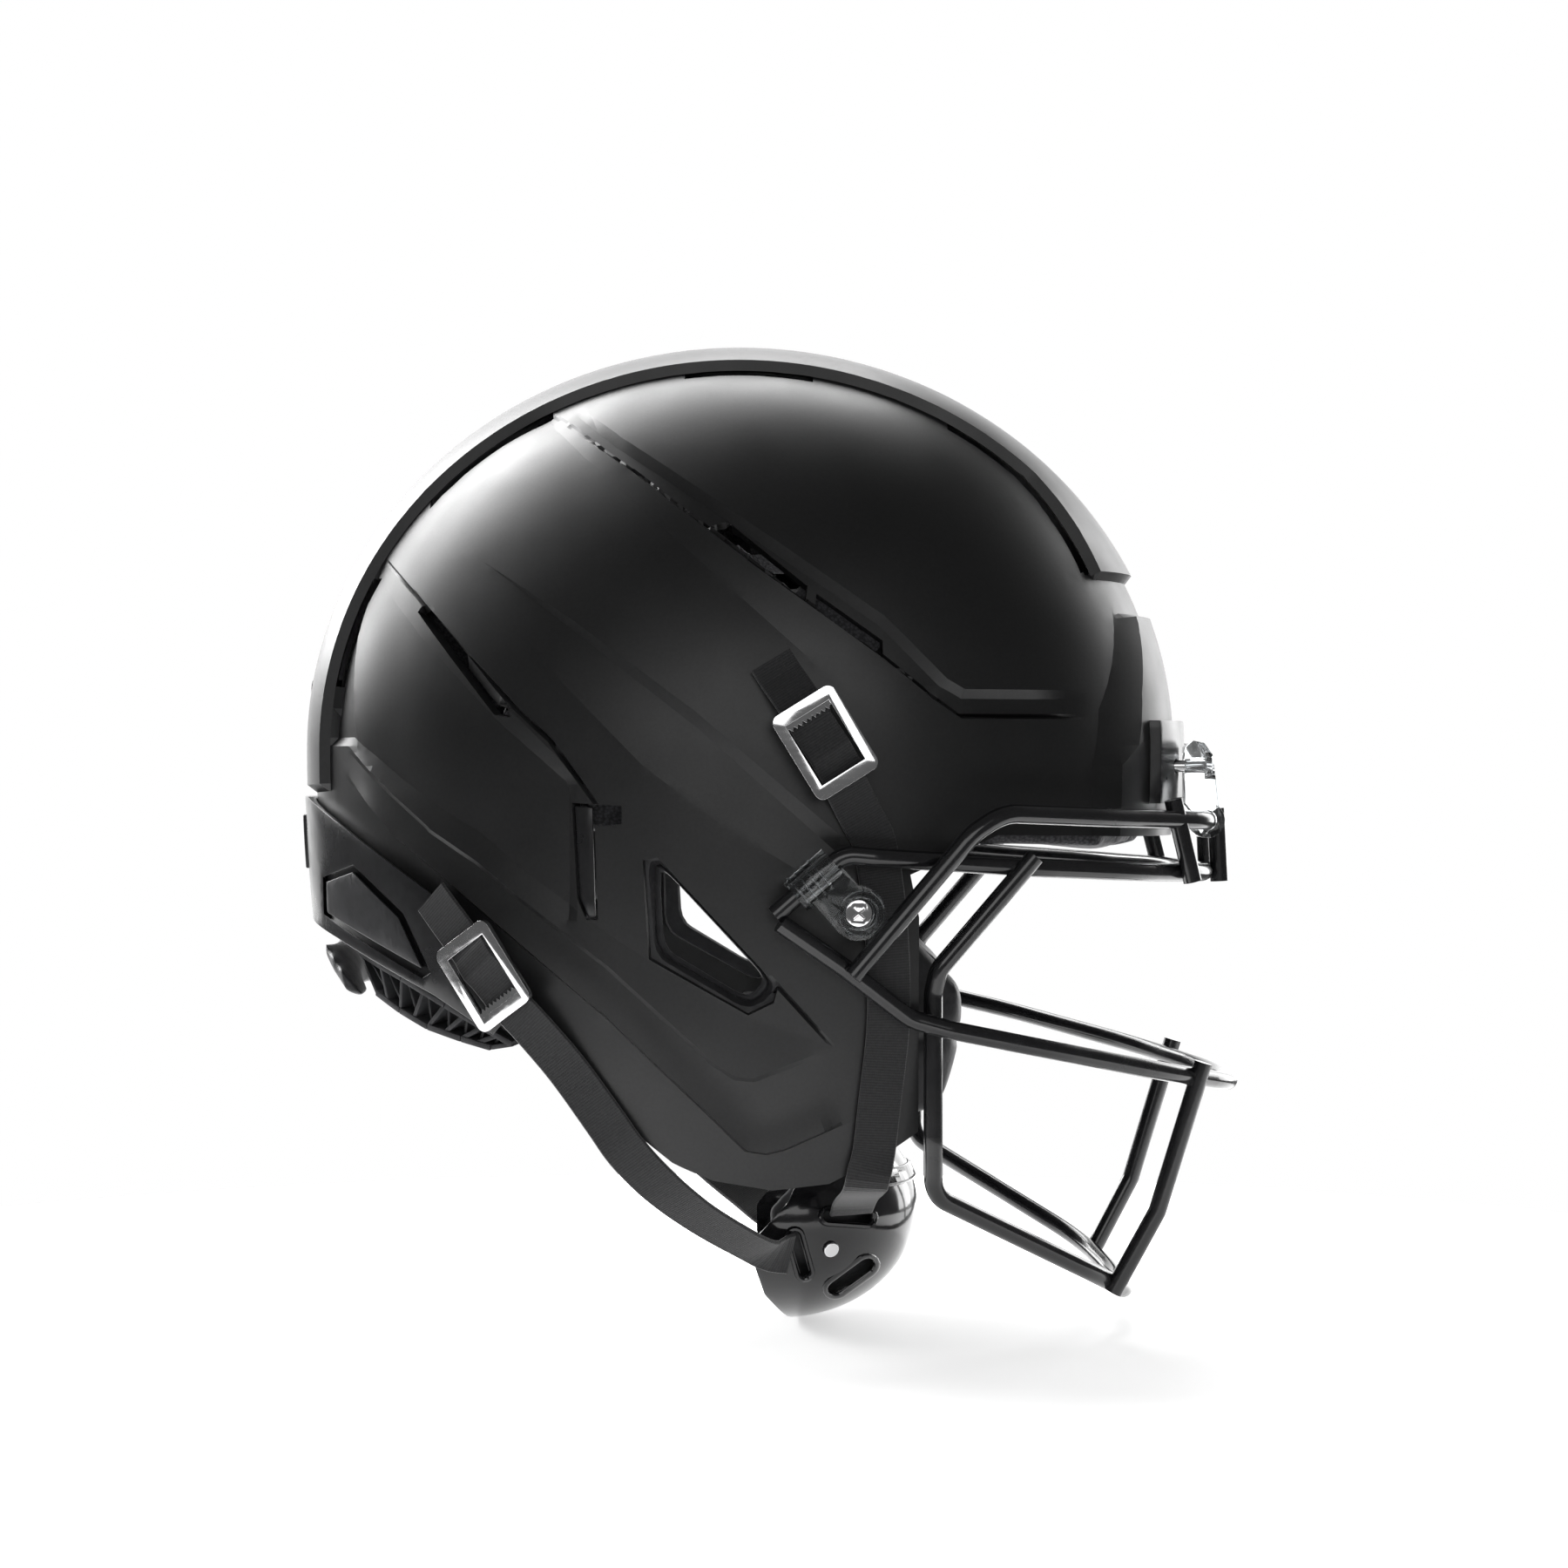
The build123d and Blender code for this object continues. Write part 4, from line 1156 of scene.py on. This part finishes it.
def tab_route(egg, snap, heading, lift, end_lift, fold_at):
    """Tab over the snap: loose tail, a flat stretch, and a fold that rises into the buckle's window."""
    stations = []
    c = math.cos(math.radians(heading))
    s = math.sin(math.radians(heading))
    path = [(-32, end_lift), (-26, end_lift + 0.2), (-17, lift - 0.2), (-10, lift)]
    path += [(fold_at - 5, lift + 0.5), (fold_at, lift + 1.5), (fold_at + 4, lift + 0.4), (11, lift - 0.2)]
    for distance, height in path:
        stations.append(egg.side(snap[0] + distance * c, snap[1] + distance * s, height))
    return stations


class HELMET_OT_webbing(bpy.types.Operator):
    """Weave the chin straps and their tabs"""
    bl_idname = "helmet.webbing"
    bl_label = "Webbing"

    def execute(self, context):
        settings = context.scene.helmet_webbing
        egg = Egg(context.scene.helmet_shell)
        cloth = woven_webbing(settings)
        upper = tab_route(egg, UPPER_SNAP, UPPER_HEADING, UPPER_TAB_LIFT, 1.5, 3.5)
        rear = tab_route(egg, REAR_SNAP, REAR_HEADING, REAR_TAB_LIFT, 6.2, -3.5)
        for name, stations in (("upper_tab", upper), ("rear_tab", rear)):
            bm = webbing_mesh(stations, settings)
            finished_pair(f"{name}_webbing", bm, "shell", "webbing", cloth, name)
        for name, route in (("upper_strap", UPPER_STRAP), ("rear_strap", REAR_STRAP)):
            bm = webbing_mesh(strap_stations(egg, route), settings)
            for piece in finished_pair(f"{name}_webbing", bm, "", "webbing", cloth, name):
                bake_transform(piece, "shell", "chin_cup", start=STRAP_ON_SHELL, end=STRAP_ON_CUP)
        return {"FINISHED"}


# ---- chin cup -----------------------------------------------------------------------------
CUP_COLOUR = (0.008, 0.008, 0.009)
CUP_CENTRE = (14.0, 0.0, -165.0)
CUP_HALF = (50.0, 56.0, 40.0)
# Slots, as x, z, tilt, half length and half height.
CUP_UPPER_SLOT = (38.0, -163.6, -8.0, 10.1, 3.2)
CUP_REAR_SLOT = (21.2, -175.9, -75.0, 9.9, 3.2)
CUP_AIR_SLOT = (39.5, -186.0, 36.0, 11.0, 4.6)
CUP_BAND = (-155.0, -148.6)              # lowest and highest edge
CUP_BAND_RISE = 1.3
CUP_BAND_TURN = 48                       # how far round the front it runs to each side, in degrees
CUP_BAND_EDGE = 0.9


def cup_spot(x, z, lift=0.0):
    """Point on the cup's right wing, lifted along its normal, and that normal."""
    u = (x - CUP_CENTRE[0]) / CUP_HALF[0]
    w = (z - CUP_CENTRE[2]) / CUP_HALF[2]
    v = -math.sqrt(max(1 - u * u - w * w, 0.0))
    normal = Vector((u / CUP_HALF[0], v / CUP_HALF[1], w / CUP_HALF[2])).normalized()
    return Vector((x, v * CUP_HALF[1], z)) + normal * lift, normal


def slot_loop(slot, grow, lift):
    """Round-ended loop about a slot of the cup, at one lift."""
    x, z, tilt, half, high = slot
    c = math.cos(math.radians(tilt))
    s = math.sin(math.radians(tilt))
    radius = high + grow
    reach = half - high
    loop = []
    for end, first in ((reach, -90), (-reach, 90)):
        for turn in range(0, 181, 22):
            angle = math.radians(first + turn)
            u = end + radius * math.cos(angle)
            v = radius * math.sin(angle)
            loop.append(cup_spot(x + u * c - v * s, z + u * s + v * c, lift)[0])
    return loop


def slot_frame(bm, slot, rise):
    """Raised, rounded rim about a slot."""
    profile = [(0.5, -0.4), (0.4, rise * 0.5), (-0.1, rise), (-0.9, rise), (-1.4, rise * 0.5), (-1.5, -0.4)]
    loops = [slot_loop(slot, grow, lift) for grow, lift in profile]
    skin_loops(bm, loops + loops[:1])


def cup_band(bm):
    """Thick lip round the front of the cup's upper edge."""
    low, high = CUP_BAND
    middle = (low + high) / 2
    wide = math.sqrt(1 - ((middle - CUP_CENTRE[2]) / CUP_HALF[2]) ** 2)
    stations = []
    for angle in range(-CUP_BAND_TURN, CUP_BAND_TURN + 1, 4):
        turn = math.radians(angle)
        spot = Vector((CUP_CENTRE[0] + wide * CUP_HALF[0] * math.cos(turn),
                       wide * CUP_HALF[1] * math.sin(turn), middle))
        out = Vector(((spot.x - CUP_CENTRE[0]) / CUP_HALF[0] ** 2, spot.y / CUP_HALF[1] ** 2,
                      (middle - CUP_CENTRE[2]) / CUP_HALF[2] ** 2))
        stations.append((spot, out))
    frames, _ = route_frames(stations)
    half = (high - low) / 2
    rise = CUP_BAND_RISE
    flat = half - CUP_BAND_EDGE
    section = [(-half, -0.8), (-half, rise * 0.4), (-flat, rise), (flat, rise), (half, rise * 0.4),
               (half, -0.8)]
    sweep(bm, section, frames)


class HELMET_OT_cup(bpy.types.Operator):
    """Polish the chin cup, round its rims and frame its slots"""
    bl_idname = "helmet.cup"
    bl_label = "Chin cup"

    def execute(self, context):
        gloss = gloss_cup(CUP_COLOUR)
        softened("chin_cup", "chin_cup", "cup", gloss, 0.7, angle=45.0, segments=3)
        bm = bmesh.new()
        for slot, rise in ((CUP_UPPER_SLOT, 1.5), (CUP_REAR_SLOT, 1.5), (CUP_AIR_SLOT, 0.7)):
            slot_frame(bm, slot, rise)
        finished_pair("cup_slot_frames", bm, "chin_cup", "cup", gloss, sharp=50.0)
        bm = bmesh.new()
        cup_band(bm)
        finished("cup_band", bm, "chin_cup", "cup", gloss, sharp=50.0)
        return {"FINISHED"}


# ---- padding ------------------------------------------------------------------------------
SWELL_FRAMES = 20
SWELL_QUALITY = 5
# Channels sewn into the pads, as (axis, place, half width, depth) in millimetres.
CROWN_CHANNELS = [(0, x, 2.6, 4.0) for x in (-40, 0, 40)] + [(1, y, 2.6, 4.0) for y in (-28, 28)]
FRONT_CHANNELS = [(1, y, 2.6, 3.6) for y in (-20, 20)] + [(2, 12, 2.6, 3.0)]
SIDE_CHANNELS = [(0, x, 2.6, 3.4) for x in (-19, 19)] + [(2, 14, 2.6, 3.0)]
JAW_CHANNELS = [(2, -98, 2.4, 1.8)]


def even_mesh(node, voxel, shrink):
    """A CAD pad, a little smaller and remeshed to an even grid, in metres."""
    bm = copy_of(node)
    bmesh.ops.scale(bm, vec=(MM, MM, MM), verts=bm.verts)
    piece = object_from(bm, node + "_cover")
    remesh = piece.modifiers.new("Even", "REMESH")
    remesh.mode = "VOXEL"
    remesh.voxel_size = voxel
    inset = piece.modifiers.new("Inset", "DISPLACE")
    inset.strength = -shrink
    inset.mid_level = 0.0
    relax = piece.modifiers.new("Relax", "SMOOTH")
    relax.iterations = 3
    relax.factor = 0.5
    bake(piece)
    return piece


def bake(piece):
    """Apply every modifier on a piece."""
    graph = bpy.context.evaluated_depsgraph_get()
    mesh = bpy.data.meshes.new_from_object(piece.evaluated_get(graph))
    piece.modifiers.clear()
    piece.data = mesh


def swell(piece, settings):
    """Blow the cover up with cloth pressure and cap how far each point moves."""
    rest = np.array([v.co for v in piece.data.vertices])
    scene = bpy.context.scene
    cloth = piece.modifiers.new("Swell", "CLOTH")
    cloth.settings.use_pressure = True
    cloth.settings.uniform_pressure_force = settings.pressure
    cloth.settings.effector_weights.gravity = 0.0
    cloth.settings.quality = SWELL_QUALITY
    cloth.point_cache.frame_start = 1
    cloth.point_cache.frame_end = SWELL_FRAMES
    for number in range(1, SWELL_FRAMES + 1):
        scene.frame_set(number)
    bake(piece)
    scene.frame_set(1)
    moved = np.array([v.co for v in piece.data.vertices])
    shift = moved - rest
    size = np.linalg.norm(shift, axis=1)
    limit = np.minimum(size, settings.cap) / np.maximum(size, 1e-9)
    for vert, co in zip(piece.data.vertices, rest + shift * limit[:, None]):
        vert.co = co


def padded_piece(node, body, material, settings, channels=()):
    """A swollen cover over a CAD pad, drawn in along its sewn channels."""
    piece = even_mesh(node, settings.voxel, settings.shrink)
    swell(piece, settings)
    finer = piece.modifiers.new("Finer", "SUBSURF")
    finer.levels = 1
    finer.render_levels = 1
    bake(piece)
    mesh = piece.data
    points = np.array([v.co for v in mesh.vertices]) / MM
    normals = np.array([v.normal for v in mesh.vertices])
    for axis, at, half, depth in channels:
        distance = (points[:, axis] - at) / half
        points = points - normals * (depth * np.exp(-distance ** 2))[:, None]
    for vert, co in zip(mesh.vertices, points * MM):
        vert.co = co
    for face in mesh.polygons:
        face.use_smooth = True
    mesh.materials.clear()
    mesh.materials.append(material)
    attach(piece, body)
    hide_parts(node)


class HELMET_OT_padding(bpy.types.Operator):
    """Swell the liner, the jaw pads, the occipital pad and the chin pad"""
    bl_idname = "helmet.padding"
    bl_label = "Padding"

    def execute(self, context):
        settings = context.scene.helmet_padding
        knit = knit_cover(settings.liner)
        coated = coated_cover(settings.jaw)
        padded_piece("crown_pad", "shell", knit, settings, CROWN_CHANNELS)
        for name in ("front_pad", "back_pad"):
            padded_piece(name, "shell", knit, settings, FRONT_CHANNELS)
        for name in ("side_pad_right", "side_pad_left"):
            padded_piece(name, "shell", knit, settings, SIDE_CHANNELS)
        for name in ("jaw_pad_right", "jaw_pad_left"):
            padded_piece(name, "shell", coated, settings, JAW_CHANNELS)
        padded_piece("occipital_pad", "shell", coated, settings)
        padded_piece("chin_cup_pad", "chin_cup", coated, settings)
        return {"FINISHED"}


# ---- neck cushions --------------------------------------------------------------------------
CUSHION_TOP = [(-139, -72.5), (-121, -80), (-104, -88.5), (-90, -95.5), (-79, -101)]
CUSHION_LOW = [(-132, -86), (-122, -91.5), (-111, -96.5), (-98, -100), (-87, -102.5)]
FIN_COUNT = 9
# Ribs, as lowest lift, highest lift and width.
RAIL = (-15, -5.6, 2.2)
FIN = (-14.5, -6.0, 1.7)
BRACE = (-14.0, -8.0, 1.2)


def along_line(line, t):
    """Point at share t of a drawn line."""
    places = np.linspace(0, 1, len(line))
    x = np.interp(t, places, [p[0] for p in line])
    z = np.interp(t, places, [p[1] for p in line])
    return float(x), float(z)


def rib_between(bm, egg, start, end, low, high, width):
    """A thin wall on the shell's form, from start to end, standing between two lifts."""
    stations = []
    for t in (0.0, 0.5, 1.0):
        x = start[0] + (end[0] - start[0]) * t
        z = start[1] + (end[1] - start[1]) * t
        stations.append(egg.side(x, z, (low + high) / 2))
    frames, _ = route_frames(stations)
    half = (high - low) / 2
    section = [(-width / 2, -half), (width / 2, -half), (width / 2, half), (-width / 2, half)]
    sweep(bm, section, frames)


class HELMET_OT_cushions(bpy.types.Operator):
    """Build the ribbed neck cushions under the rear bumper"""
    bl_idname = "helmet.cushions"
    bl_label = "Neck cushions"

    def execute(self, context):
        egg = Egg(context.scene.helmet_shell)
        bm = bmesh.new()
        for line in (CUSHION_TOP, CUSHION_LOW):
            for start, end in zip(line, line[1:]):
                rib_between(bm, egg, start, end, *RAIL)
        for i in range(FIN_COUNT):
            t = i / (FIN_COUNT - 1)
            top = along_line(CUSHION_TOP, t)
            low = along_line(CUSHION_LOW, t)
            rib_between(bm, egg, top, low, *FIN)
            if i:
                before = along_line(CUSHION_TOP, (i - 1) / (FIN_COUNT - 1))
                rib_between(bm, egg, before, low, *BRACE)
        bevelled(bm, sharp_edges(bm, 50), 0.35)
        finished_pair("neck_cushion_ribbed", bm, "shell", "soft_rubber", rubber(RUBBER_COLOUR),
                      "neck_cushion", outward=False)
        return {"FINISHED"}


# ---- ear rings ------------------------------------------------------------------------------
EAR_LIP = [(-27, -41.5), (-24.5, -41), (9.5, -76.5), (8.5, -81), (3, -84), (-25.5, -67.5)]
# The ring's section, as (outline, growth, lift) from its outer edge over its lip and back.
EAR_RING = [(EAR_OPENING, 2.5, -4.3), (EAR_OPENING, -1.2, -5.2), (EAR_LIP, 2.6, -8.2), (EAR_LIP, 1.6, -7.2),
            (EAR_LIP, 0.6, -7.0), (EAR_LIP, -0.4, -7.6), (EAR_LIP, -0.2, -8.6), (EAR_LIP, 1.0, -9.6),
            (EAR_OPENING, 2.5, -9.6)]


def ring_points(egg, outline, grow, lift):
    """Corner-rounded outline on the shell's side, grown about its middle, at one lift."""
    middle = Vector((sum(p[0] for p in outline), sum(p[1] for p in outline))) / len(outline)
    points = []
    count = len(outline)
    for i in range(count):
        corner = Vector(outline[i])
        before = Vector(outline[i - 1])
        after = Vector(outline[(i + 1) % count])
        for other, part in ((before, 0.3), (before, 0.12), (after, 0.12), (after, 0.3)):
            reach = min((other - corner).length * part, 5.0 * part / 0.3)
            spot = corner + (other - corner).normalized() * reach
            if part < 0.2:
                spot = spot + (middle - corner).normalized() * 0.5
            spot = spot + (spot - middle).normalized() * grow
            points.append(egg.side(spot.x, spot.y, lift)[0])
    return points


class HELMET_OT_ear_rings(bpy.types.Operator):
    """Line the ear openings with their soft inner rings"""
    bl_idname = "helmet.ear_rings"
    bl_label = "Ear rings"

    def execute(self, context):
        egg = Egg(context.scene.helmet_shell)
        padding = context.scene.helmet_padding
        loops = [ring_points(egg, outline, grow, lift) for outline, grow, lift in EAR_RING]
        bm = bmesh.new()
        skin_loops(bm, loops + loops[:1])
        finished_pair("ear_ring", bm, "shell", "jaw_pad", coated_cover(padding.jaw))
        return {"FINISHED"}


# ---- stage ------------------------------------------------------------------------------------
CAMERA_PLACE = (0.0173, -0.0016)         # across and up
CAMERA_AIM = (0.01575, 0.0, -0.0126)
SENSOR = 36.0
FLOOR_RADIUS = 0.48
FLOOR_GLOW = 0.5
FLOOR_GAP = 0.001
WHITE = (1, 1, 1, 1)
ROOM_LIGHT = 0.12                        # what the white room adds to the helmet's light
LIGHT_AIM = (0.01, 0.0, -0.02)
# Soft lights, as name, place, size and power.
LIGHTS = [
    ("top_light", (-0.25, 0.8, 1.25), (1.5, 0.6), 24),
    ("rear_rim", (-1.2, 0.9, 0.95), (1.2, 1.5), 62),
    ("front_rim", (1.3, 1.2, 0.35), (0.7, 1.3), 13),
    ("back_panel", (0.0, 1.7, 0.4), (3.0, 1.4), 26),
    ("side_fill", (0.15, -1.95, 0.5), (1.7, 0.9), 8.6),
]


def soft_light(name, spot, size, power):
    """A soft rectangular light, aimed at the helmet and unseen by the camera."""
    light = bpy.data.lights.new(name, "AREA")
    light.shape = "RECTANGLE"
    light.size, light.size_y = size
    light.energy = power
    lamp = bpy.data.objects.new(name, light)
    lamp.location = spot
    lamp.rotation_euler = (Vector(LIGHT_AIM) - Vector(spot)).to_track_quat("-Z", "Y").to_euler()
    lamp.visible_camera = False
    bpy.context.scene.collection.objects.link(lamp)


def lay_floor(settings):
    """A pale round floor just under the helmet."""
    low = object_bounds()[0]
    bm = bmesh.new()
    bmesh.ops.create_circle(bm, cap_ends=True, segments=96, radius=FLOOR_RADIUS)
    bmesh.ops.translate(bm, vec=(0, 0, low[2] - FLOOR_GAP), verts=bm.verts)
    floor = object_from(bm, "floor")
    floor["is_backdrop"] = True
    finish = Finish("pale_floor", settings.floor, 0.7)
    finish.vary("Roughness", finish.noise(3.0), 0.65, 0.8)
    finish.put("Emission Color", WHITE)
    finish.put("Emission Strength", FLOOR_GLOW)
    floor.data.materials.append(finish.material)


def studio_world():
    """A room that is white to the camera and lights the helmet only a little."""
    world = bpy.data.worlds.new("studio")
    world.use_nodes = True
    nodes = world.node_tree.nodes
    links = world.node_tree.links
    seen = nodes["Background"]
    room = nodes.new("ShaderNodeBackground")
    for background, strength in ((seen, 1.0), (room, ROOM_LIGHT)):
        background.inputs["Color"].default_value = WHITE
        background.inputs["Strength"].default_value = strength
    mix = nodes.new("ShaderNodeMixShader")
    path = nodes.new("ShaderNodeLightPath")
    links.new(path.outputs["Is Camera Ray"], mix.inputs["Fac"])
    links.new(room.outputs["Background"], mix.inputs[1])
    links.new(seen.outputs["Background"], mix.inputs[2])
    links.new(mix.outputs["Shader"], nodes["World Output"].inputs["Surface"])
    return world


def aim_camera(settings):
    """The camera beside the helmet, level with its middle."""
    camera = bpy.data.cameras.new("camera")
    camera.lens = settings.lens
    camera.sensor_width = SENSOR
    camera.clip_start = 0.01
    view = bpy.data.objects.new("camera", camera)
    view.location = (CAMERA_PLACE[0], -settings.distance, CAMERA_PLACE[1])
    view.rotation_euler = (Vector(CAMERA_AIM) - view.location).to_track_quat("-Z", "Y").to_euler()
    bpy.context.scene.collection.objects.link(view)
    bpy.context.scene.camera = view


class HELMET_OT_stage(bpy.types.Operator):
    """Lay the floor, set the soft light and aim the camera"""
    bl_idname = "helmet.stage"
    bl_label = "Stage"

    def execute(self, context):
        settings = context.scene.helmet_stage
        lay_floor(settings)
        context.scene.world = studio_world()
        context.scene.view_settings.view_transform = "Standard"
        for name, spot, size, power in LIGHTS:
            soft_light(name, spot, size, power * settings.light)
        aim_camera(settings)
        return {"FINISHED"}


# ---- add-on --------------------------------------------------------------------------------------
OPERATORS = [HELMET_OT_stage, HELMET_OT_shell, HELMET_OT_mask, HELMET_OT_clips, HELMET_OT_buckles,
             HELMET_OT_bumpers, HELMET_OT_webbing, HELMET_OT_cup, HELMET_OT_padding, HELMET_OT_cushions,
             HELMET_OT_ear_rings]
SETTINGS = {
    "helmet_shell": HelmetShellSettings,
    "helmet_mask": HelmetMaskSettings,
    "helmet_hardware": HelmetHardwareSettings,
    "helmet_webbing": HelmetWebbingSettings,
    "helmet_padding": HelmetPaddingSettings,
    "helmet_stage": HelmetStageSettings,
}


class HELMET_PT_panel(bpy.types.Panel):
    """Helmet pieces and their settings"""
    bl_idname = "HELMET_PT_panel"
    bl_label = "Football Helmet"
    bl_space_type = "VIEW_3D"
    bl_region_type = "UI"
    bl_category = "Helmet"

    def draw(self, context):
        for operator in OPERATORS:
            self.layout.operator(operator.bl_idname)
        for name, group in SETTINGS.items():
            box = self.layout.box()
            box.label(text=group.__doc__)
            for setting in group.__annotations__:
                box.prop(getattr(context.scene, name), setting)


def register():
    for name, group in SETTINGS.items():
        bpy.utils.register_class(group)
        setattr(bpy.types.Scene, name, bpy.props.PointerProperty(type=group))
    for operator in OPERATORS:
        bpy.utils.register_class(operator)
    bpy.utils.register_class(HELMET_PT_panel)


def unregister():
    bpy.utils.unregister_class(HELMET_PT_panel)
    for operator in reversed(OPERATORS):
        bpy.utils.unregister_class(operator)
    for name, group in SETTINGS.items():
        delattr(bpy.types.Scene, name)
        bpy.utils.unregister_class(group)


def main():
    register()
    bpy.ops.helmet.stage()
    bpy.ops.helmet.shell()
    bpy.ops.helmet.mask()
    bpy.ops.helmet.clips()
    bpy.ops.helmet.buckles()
    bpy.ops.helmet.bumpers()
    bpy.ops.helmet.webbing()
    bpy.ops.helmet.cup()
    bpy.ops.helmet.padding()
    bpy.ops.helmet.cushions()
    bpy.ops.helmet.ear_rings()


if __name__ == "__main__":
    main()
